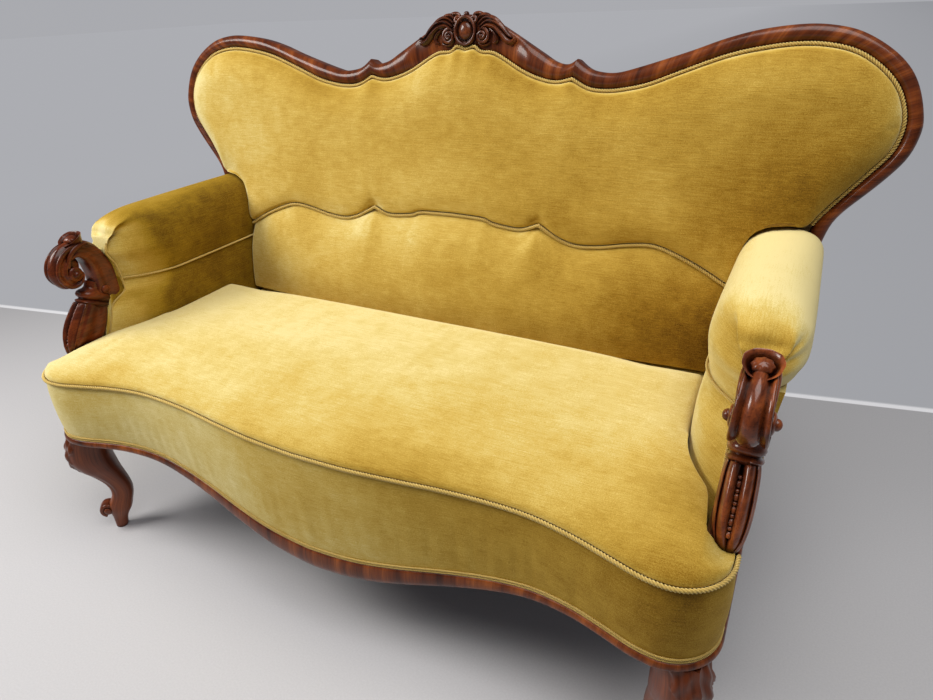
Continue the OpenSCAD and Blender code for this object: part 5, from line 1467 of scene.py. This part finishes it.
def carved_post(name):
    """The right arm post as one piece."""
    scroll, _, _ = carved_strand(
        "scroll", scroll_shares, 8,
        lambda u: 1 + 0.24 * bump(u, 0, 0.26) - 0.38 * bump(u, 0.50, 0.12) + 0.14 * bump(u, 0.78, 0.12),
        lambda v: 1 - 0.26 * bump(v, 0, 0.44) + 0.06 * bump(v, 0.8, 0.12),
    )
    drop, path, rows = carved_strand(
        "drop", drop_shares, 10,
        lambda u: (1 - 0.30 * bump(u, 0, 0.13) + 0.10 * bump(u, 0.40, 0.18)
                   - 0.20 * bump(u, 0.72, 0.06) + 0.05 * bump(u, 0.88, 0.07)),
        lambda v: 1 - 0.20 * bump(v + 0.15, 0, 0.26) - 0.10 * bump(v - 0.60, 0, 0.07),
    )
    parts = [scroll, drop] + beads(path, rows)
    # The neck that the collar binds runs from the scroll's stem down into the drop
    start, stop = post_point(*collar_top), post_point(*collar_foot)
    neck = [squarish(0.078 * arm_rise, 0.66 * arm_post_w / 2, 48, 0.8)] * 9
    collar = [squarish(r * 0.113 * arm_rise, r * 0.96 * arm_post_w / 2, 56, 0.8) for _, r in collar_rings]
    for part, shares, sections in (
        ("neck", np.linspace(-0.35, 1.15, 9), neck), ("collar", [h for h, _ in collar_rings], collar),
    ):
        bound = np.array([blend(start, stop, h) for h in shares])
        parts.append(loft(part, swept(bound, sections, (1, 0, 0)), carved_mahogany))
    pin = [(h * 1.08 * arm_post_w / 2, r * 0.0075) for h, r in ((-1, 0.5), (-1, 1), (1, 1), (1, 0.5))]
    parts.append(turned("pin", post_point(*eye_share), (1, 0, 0), pin, 20))
    # The hollow of the spiral is carved out but not cut through
    parts.append(boss("web", post_point(0.205, 0.700), 0.30 * arm_post_w, 0.078 * arm_rise, 40))
    for flank in (-1, 1):
        parts.append(boss("button", post_point(*eye_share, 1.22 * flank), 0.0078, 0.0088, 28))
        parts.append(boss("volute", post_point(*eye_share, 1.02 * flank), 0.0055, 0.0170, 32))
        parts.append(boss("boss", post_point(0.386, 0.452, 0.90 * flank), 0.0055, 0.0105, 28))
        # Curled leaf that hangs at each side of the scroll from the cup
        leaf = np.array([post_point(depth, height, 0.86 * flank) for depth, height, _ in leaf_shares])
        widths = np.maximum(leaf_shares[:, 2], 0.15)
        sections = [squarish(0.0058 * w, 0.0042 * w, 18, 0.9) for w in widths]
        parts.append(loft("strand", swept(leaf, sections, (1, 0, 0)), carved_mahogany))
    parts += leaf_cup()
    front, rear = ear_y + gap, float(arm_front(seat_h))
    stump = [
        [(stump_in, front, z), (stump_out, front, z), (stump_out, rear, z), (stump_in, rear, z)]
        for z in (rail_top, seat_h + stump_rise * arm_rise)
    ]
    return joined(name, parts + [loft("stump", stump, carved_mahogany)])


for side, label in sides:
    post = carved_post(f"arm_post_carved_{label}")
    if side < 0:
        post.data.transform(Matrix.Scale(-1, 4, (1, 0, 0)))
        post.data.flip_normals()
        # The left post takes the darker copy of the carved mahogany: painted shade
        post.data.materials[0] = shaded_mahogany
    show_wood(post, 55, f"arm_post_{label}")
    # Cord that covers the seam between the plush and the post, from the seat up to the cup
    run = np.linspace(*(seat_h + share * arm_rise for share in post_cord_span), 60)
    edge_cord = [(side * (post_x - 0.53 * arm_post_w), float(arm_front(z)) - post_cord_off, z) for z in run]
    fitted(laid_cord(f"arm_post_cord_{label}", edge_cord, post_cord_d), "piping_cord")

# Outsides of the arms and of the back: plush stretched flat and tacked down round its edges.
# The arm panels run from the side rail up under the roll.
outside_shares = spline([
    (0, 0.0), (0.009, 0.425), (0.0095, 0.433), (0.015, 0.49), (0.03, 0.58), (0.045, 0.67), (0.06, 0.75),
    (0.075, 0.80), (0.10, 0.90), (0.125, 1.0),
], 3)
outside_foot, outside_top, panel_off, held_l = leg_h + apron_h + gap, arm_rail_z - gap, 0.003, 0.12


def side_front(z):
    return ear_y + gap if z < seat_h - panel_off else float(arm_front(z)) + panel_off


def outside_point(side, v, a, h, inner):
    """A point of the panel, v from front to back; its outer face has a little slack away from the edges."""
    z = blend(outside_foot, outside_top, h)
    rear = float(arm_back(z))
    y = blend(side_front(z), rear - gap, v)
    held = float(ease((y - arm_front(seat_h)) / held_l) * ease((rear - y) / held_l))
    slack = 0.0012 * math.sin(50 * y + 5 * h) * math.sin(math.pi * min(max(h, 0), 1)) * held
    return side * (seat_half + a * arm_w + (-cover_t if inner else slack)), y, z


for side, label in sides:
    rings = [
        [outside_point(side, v, a, h, False) for a, h in outside_shares]
        + [outside_point(side, v, a, h, True) for a, h in outside_shares[::-1]]
        for v in np.linspace(0, 1, 40)
    ]
    panel = sharpen(loft(f"outside_arm_plush_{label}", rings, plush), 50)
    fitted(panel, "plush", f"outside_arm_{label}")


def polygon_area(line):
    x, y = line.T
    return abs(np.dot(x, np.roll(y, -1)) - np.dot(y, np.roll(x, -1))) / 2


def filled_plate(name, line, front, back, material, place):
    """A thin plate with that outline; place turns a point of it and a depth into a point of the sofa."""
    n = len(line)
    mesh = bpy.data.meshes.new(name)
    faces = [tuple(range(n)), tuple(range(2 * n - 1, n - 1, -1))]
    faces += [(k, k + n, (k + 1) % n + n, (k + 1) % n) for k in range(n)]
    mesh.from_pydata([tuple(map(float, place(x, y, d))) for d in (front, back) for x, y in line], [], faces)

    def filled(work):
        bmesh.ops.triangulate(work, faces=[f for f in work.faces if len(f.verts) > 4])
        face_outwards(work)
        layer = work.loops.layers.uv.new("UVMap")
        for face in work.faces:
            for corner in face.loops:
                corner[layer].uv = tuple(line[corner.vert.index % n])
    worked(mesh, filled)
    return new_piece(name, mesh, material)


def stretched(piece, slot, node, flat, rests_on, **measures):
    """A sheet that is tacked down all round; its size when cut flat is not used."""
    fitted(piece, slot, node)


def stretched_plate(name, slot, node, line, front, back, material, rests_on, place=back_pt):
    plate = filled_plate(name, line, front, back, material, place)
    stretched(plate, slot, node, np.ptp(line, axis=0), rests_on, area=polygon_area(line))


frame_half = np.vstack([crest_out, shoulder_out[1:], stile_out[1:]])
outside_back_t, outside_overlap, plate_clear = 0.003, 0.010, 0.002
base_s = stile_foot + (frame_t + outside_back_t) * math.tan(recline) + gap
back_holds = ["crest_rail", "back_base_rail"]


def cut_off(line):
    """An outline of the back ended at the base rail."""
    line = np.array(line)
    line[-1] = (line[-1][0], base_s)
    return line[line[:, 1] >= base_s - 1e-9]


outside_line = mirrored_line(cut_off(offset_line(frame_half, outside_overlap)))
stretched_plate(
    "outside_back_plush", "plush", "outside_back", outside_line, -frame_t - outside_back_t, -frame_t, plush,
    back_holds,
)

# Webbing and hessian: jute straps woven both ways under the springs and across the back.
# Plain jute cloth lies over them, and the springs stand on the straps.
jute, tree, shader = new_material("jute")
place = add_node(tree, "ShaderNodeTexCoord").outputs["Object"]
threads = {"Vector": place, "Scale": 260.0, "Distortion": 1.2, "Detail": 2.0}
warp, weft = (
    add_node(tree, "ShaderNodeTexWave", threads, bands_direction=way).outputs["Fac"] for way in "XY"
)
slubs = noise_of(tree, place, 70.0, 4.0)
weave = calc(tree, "ADD", calc(tree, "MULTIPLY", warp, 0.35), calc(tree, "MULTIPLY", weft, 0.35))
weave = calc(tree, "ADD", weave, calc(tree, "MULTIPLY", slubs, 0.5))
jute_shades = [(0.25, (0.15, 0.095, 0.045)), (0.6, (0.36, 0.25, 0.13)), (0.9, (0.52, 0.39, 0.22))]
feed(tree, shader, {"Base Color": ramp(tree, weave, jute_shades), "Roughness": 0.9})
embossed(tree, shader, weave, 0.7, 0.0012)
spring_d, spring_cols, spring_rows, web_w, web_t = 0.084, 6, 3, 0.050, 0.0015
spring_x = 0.94 * 2 * (arm_in_x - spring_d / 2 - gap)
spring_front = front_y + hollow + rail_t + 0.018 + spring_d / 2 + 0.004
spring_back = rear_post_y - spring_d / 2 - web_w / 2
strap_end, hessian_t = 0.004, 0.0015


def strap(start, stop, normal, crossings, rise):
    """A webbing strap from start to stop that bends over and under what it crosses."""
    start, stop, normal = (np.asarray(v, float) for v in (start, stop, normal))
    length = np.linalg.norm(stop - start)
    half = np.cross(normal, (stop - start) / length) * web_w / 2
    thick = normal * web_t * 0.36
    rings = []
    for u in np.linspace(0, 1, 90):
        bend = sum(
            rise * over * math.exp(-(((u - c) * length) / (web_w * 0.42)) ** 2) for c, over in crossings
        )
        middle = start + u * (stop - start) + bend * normal
        rings.append([
            middle - half - thick, middle + half - thick, middle + half + thick, middle - half + thick,
        ])
    return loft("strap", rings, jute, shade_smooth=False)


def weave_over(i, j):
    return (-1) ** (i + j)


(lo_x, lo_y, lo_z), (hi_x, hi_y, hi_z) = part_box("seat_webbing")
run_x, run_y, middle_z = hi_x - lo_x, hi_y - lo_y, (lo_z + hi_z) / 2
xs = np.linspace(-spring_x / 2, spring_x / 2, spring_cols)
ys = np.linspace(spring_front, spring_back, spring_rows)
straps = []
for i, x in enumerate(xs):
    marks = [((y - lo_y) / run_y, weave_over(i, j)) for j, y in enumerate(ys)]
    straps.append(strap((x, lo_y, middle_z), (x, hi_y, middle_z), (0, 0, 1), marks, web_t * 0.42))
for j, y in enumerate(ys):
    marks = [((x - lo_x) / run_x, -weave_over(i, j)) for i, x in enumerate(xs)]
    straps.append(strap((lo_x, y, middle_z), (hi_x, y, middle_z), (0, 0, 1), marks, web_t * 0.42))
stretched(
    joined("seat_webbing_woven", straps), "jute", "seat_webbing", (run_x, run_y),
    ["side_rail_left", "front_rail"], area=web_w * (spring_rows * run_x + spring_cols * run_y),
)
stile_rows, top_line = stile_in[::-1], wood_line[:int(np.argmax(wood_line[:, 0]))]
back_rows, back_cols = (0.16, 0.50, 0.68), (0.12, 0.36, 0.60)
face_out = back_pt(0, 0, 1) - back_pt(0, 0, 0)


def back_strap(start, stop, marks):
    ends = [back_pt(x, s, -web_t / 2) for x, s in (start, stop)]
    return strap(*ends, face_out, marks, web_t * 0.3)


straps, strap_run = [], 0.0
for j, q in enumerate(back_rows):
    level_s = q * back_rise + web_w / 2
    edges = [float(np.interp(level_s + w, *stile_rows.T[::-1])) for w in (-web_w / 2, web_w / 2)]
    reach = min(edges) - strap_end
    strap_run += 2 * reach
    marks = [
        ((side * c * half_w + reach) / (2 * reach), weave_over(i, j))
        for i, c in enumerate(back_cols) for side in (-1, 1)
    ]
    straps.append(back_strap((-reach, level_s), (reach, level_s), marks))
for i, c in enumerate(back_cols):
    for side in (-1, 1):
        x = side * c * half_w
        edges = [float(np.interp(c * half_w + w, *top_line.T)) for w in (-web_w / 2, 0, web_w / 2)]
        reach = min(edges) - strap_end
        strap_run += reach - base_s
        marks = [
            ((q * back_rise + web_w / 2 - base_s) / (reach - base_s), -weave_over(i, j))
            for j, q in enumerate(back_rows)
        ]
        straps.append(back_strap((x, base_s), (x, reach), marks))
lo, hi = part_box("back_webbing")
stretched(
    joined("back_webbing_woven", straps), "jute", "back_webbing", (hi[0] - lo[0], hi[2] - lo[2]), back_holds,
    area=web_w * strap_run,
)
panel_line = mirrored_line(cut_off(offset_line(wood_line, plate_clear)))
stretched_plate("back_hessian_cloth", "jute", "back_hessian", panel_line, 0.001, 0.0, jute, back_holds)
hessian_x = seat_half - rail_t - gap
hessian_line = mirrored_line(np.vstack([
    offset_line(front_half, -rail_t / 2)[front_half[:, 0] < corner_x],
    [(corner_x, front_y + rail_t / 2), (hessian_x, corner_y), (hessian_x, rear_post_y + frame_t / 4)],
]))
stretched_plate(
    "spring_hessian_cloth", "jute", "spring_hessian", hessian_line, rail_top, rail_top + hessian_t, jute,
    ["side_rail_left", "seat_springs"], lambda x, y, z: (x, y, z),
)

# Dust cover: thin black cotton tacked under the frame, sagging slightly between the rails.
# Its blued tacks stand in even rows along all four edges.
cotton_shades = [(0.0, (0.018,) * 3), (0.5, (0.035, 0.034, 0.033)), (1.0, (0.08, 0.08, 0.08))]
cotton = cloth_material(
    "dust_cotton", cotton_shades, 0.1, lean=0.40, tips=0.50, coordinate="Object", bump=0.0004,
)
lo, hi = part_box("dust_cover")
size = np.subtract(hi, lo)
grid_x, grid_y = np.linspace(lo[0], hi[0], 61), np.linspace(lo[1], hi[1], 27)
rings = []
for x in grid_x:
    u, v = (x - lo[0]) / size[0], (grid_y - lo[1]) / size[1]
    sag = 0.0045 * np.clip(np.sin(np.pi * u), 0, 1) ** 0.7 * np.clip(np.sin(np.pi * v), 0, 1) ** 0.7
    sag += 0.0005 * np.sin(40 * x) * np.sin(31 * grid_y)
    under = np.column_stack([np.full(len(grid_y), x), grid_y, lo[2] - sag])
    rings.append(np.vstack([under, under[::-1] + (0, 0, size[2])]))
stretched(
    loft("dust_cover_cotton", rings, cotton), "dust_cloth", "dust_cover", (float(size[0]), float(size[1])),
    ["side_rail_left", "side_rail_right"],
)
tack_tree, tack_sockets, given, out = geometry_group("tack_rows", "Places", ("Head", "Flat"), "Tacks")
tree = tack_tree
head = geometry(tree, "MeshUVSphere", {"Segments": 10, "Rings": 6, "Radius": given["Head"]})
flattened = add_node(tree, "ShaderNodeCombineXYZ", {"X": 1.0, "Y": 1.0, "Z": given["Flat"]}).outputs["Vector"]
head = geometry(tree, "Transform", {"Geometry": head, "Scale": flattened})
heads = geometry(tree, "InstanceOnPoints", {"Points": given["Places"], "Instance": head})
finished(tree, out, heads, given["Material"])
spacing, margin, tack_r, tack_flat, tack_z = 0.040, 0.009, 0.0042, 0.34, lo[2] - 0.0004
tack_xs = np.arange(lo[0] + margin, hi[0] - margin / 2, spacing)
tack_ys = np.arange(lo[1] + margin + spacing, hi[1] - 2 * margin, spacing)
places = [(x, y, tack_z) for y in (lo[1] + margin, hi[1] - margin) for x in tack_xs]
places += [(x, y, tack_z) for x in (lo[0] + margin, hi[0] - margin) for y in tack_ys]
mesh = bpy.data.meshes.new("tack_places")
mesh.from_pydata(places, [], [])
tack_look = {"Head": tack_r, "Flat": tack_flat, "Material": steel}
fitted(made_real("dust_cover_tacks", mesh, tack_tree, tack_sockets, tack_look), "steel")
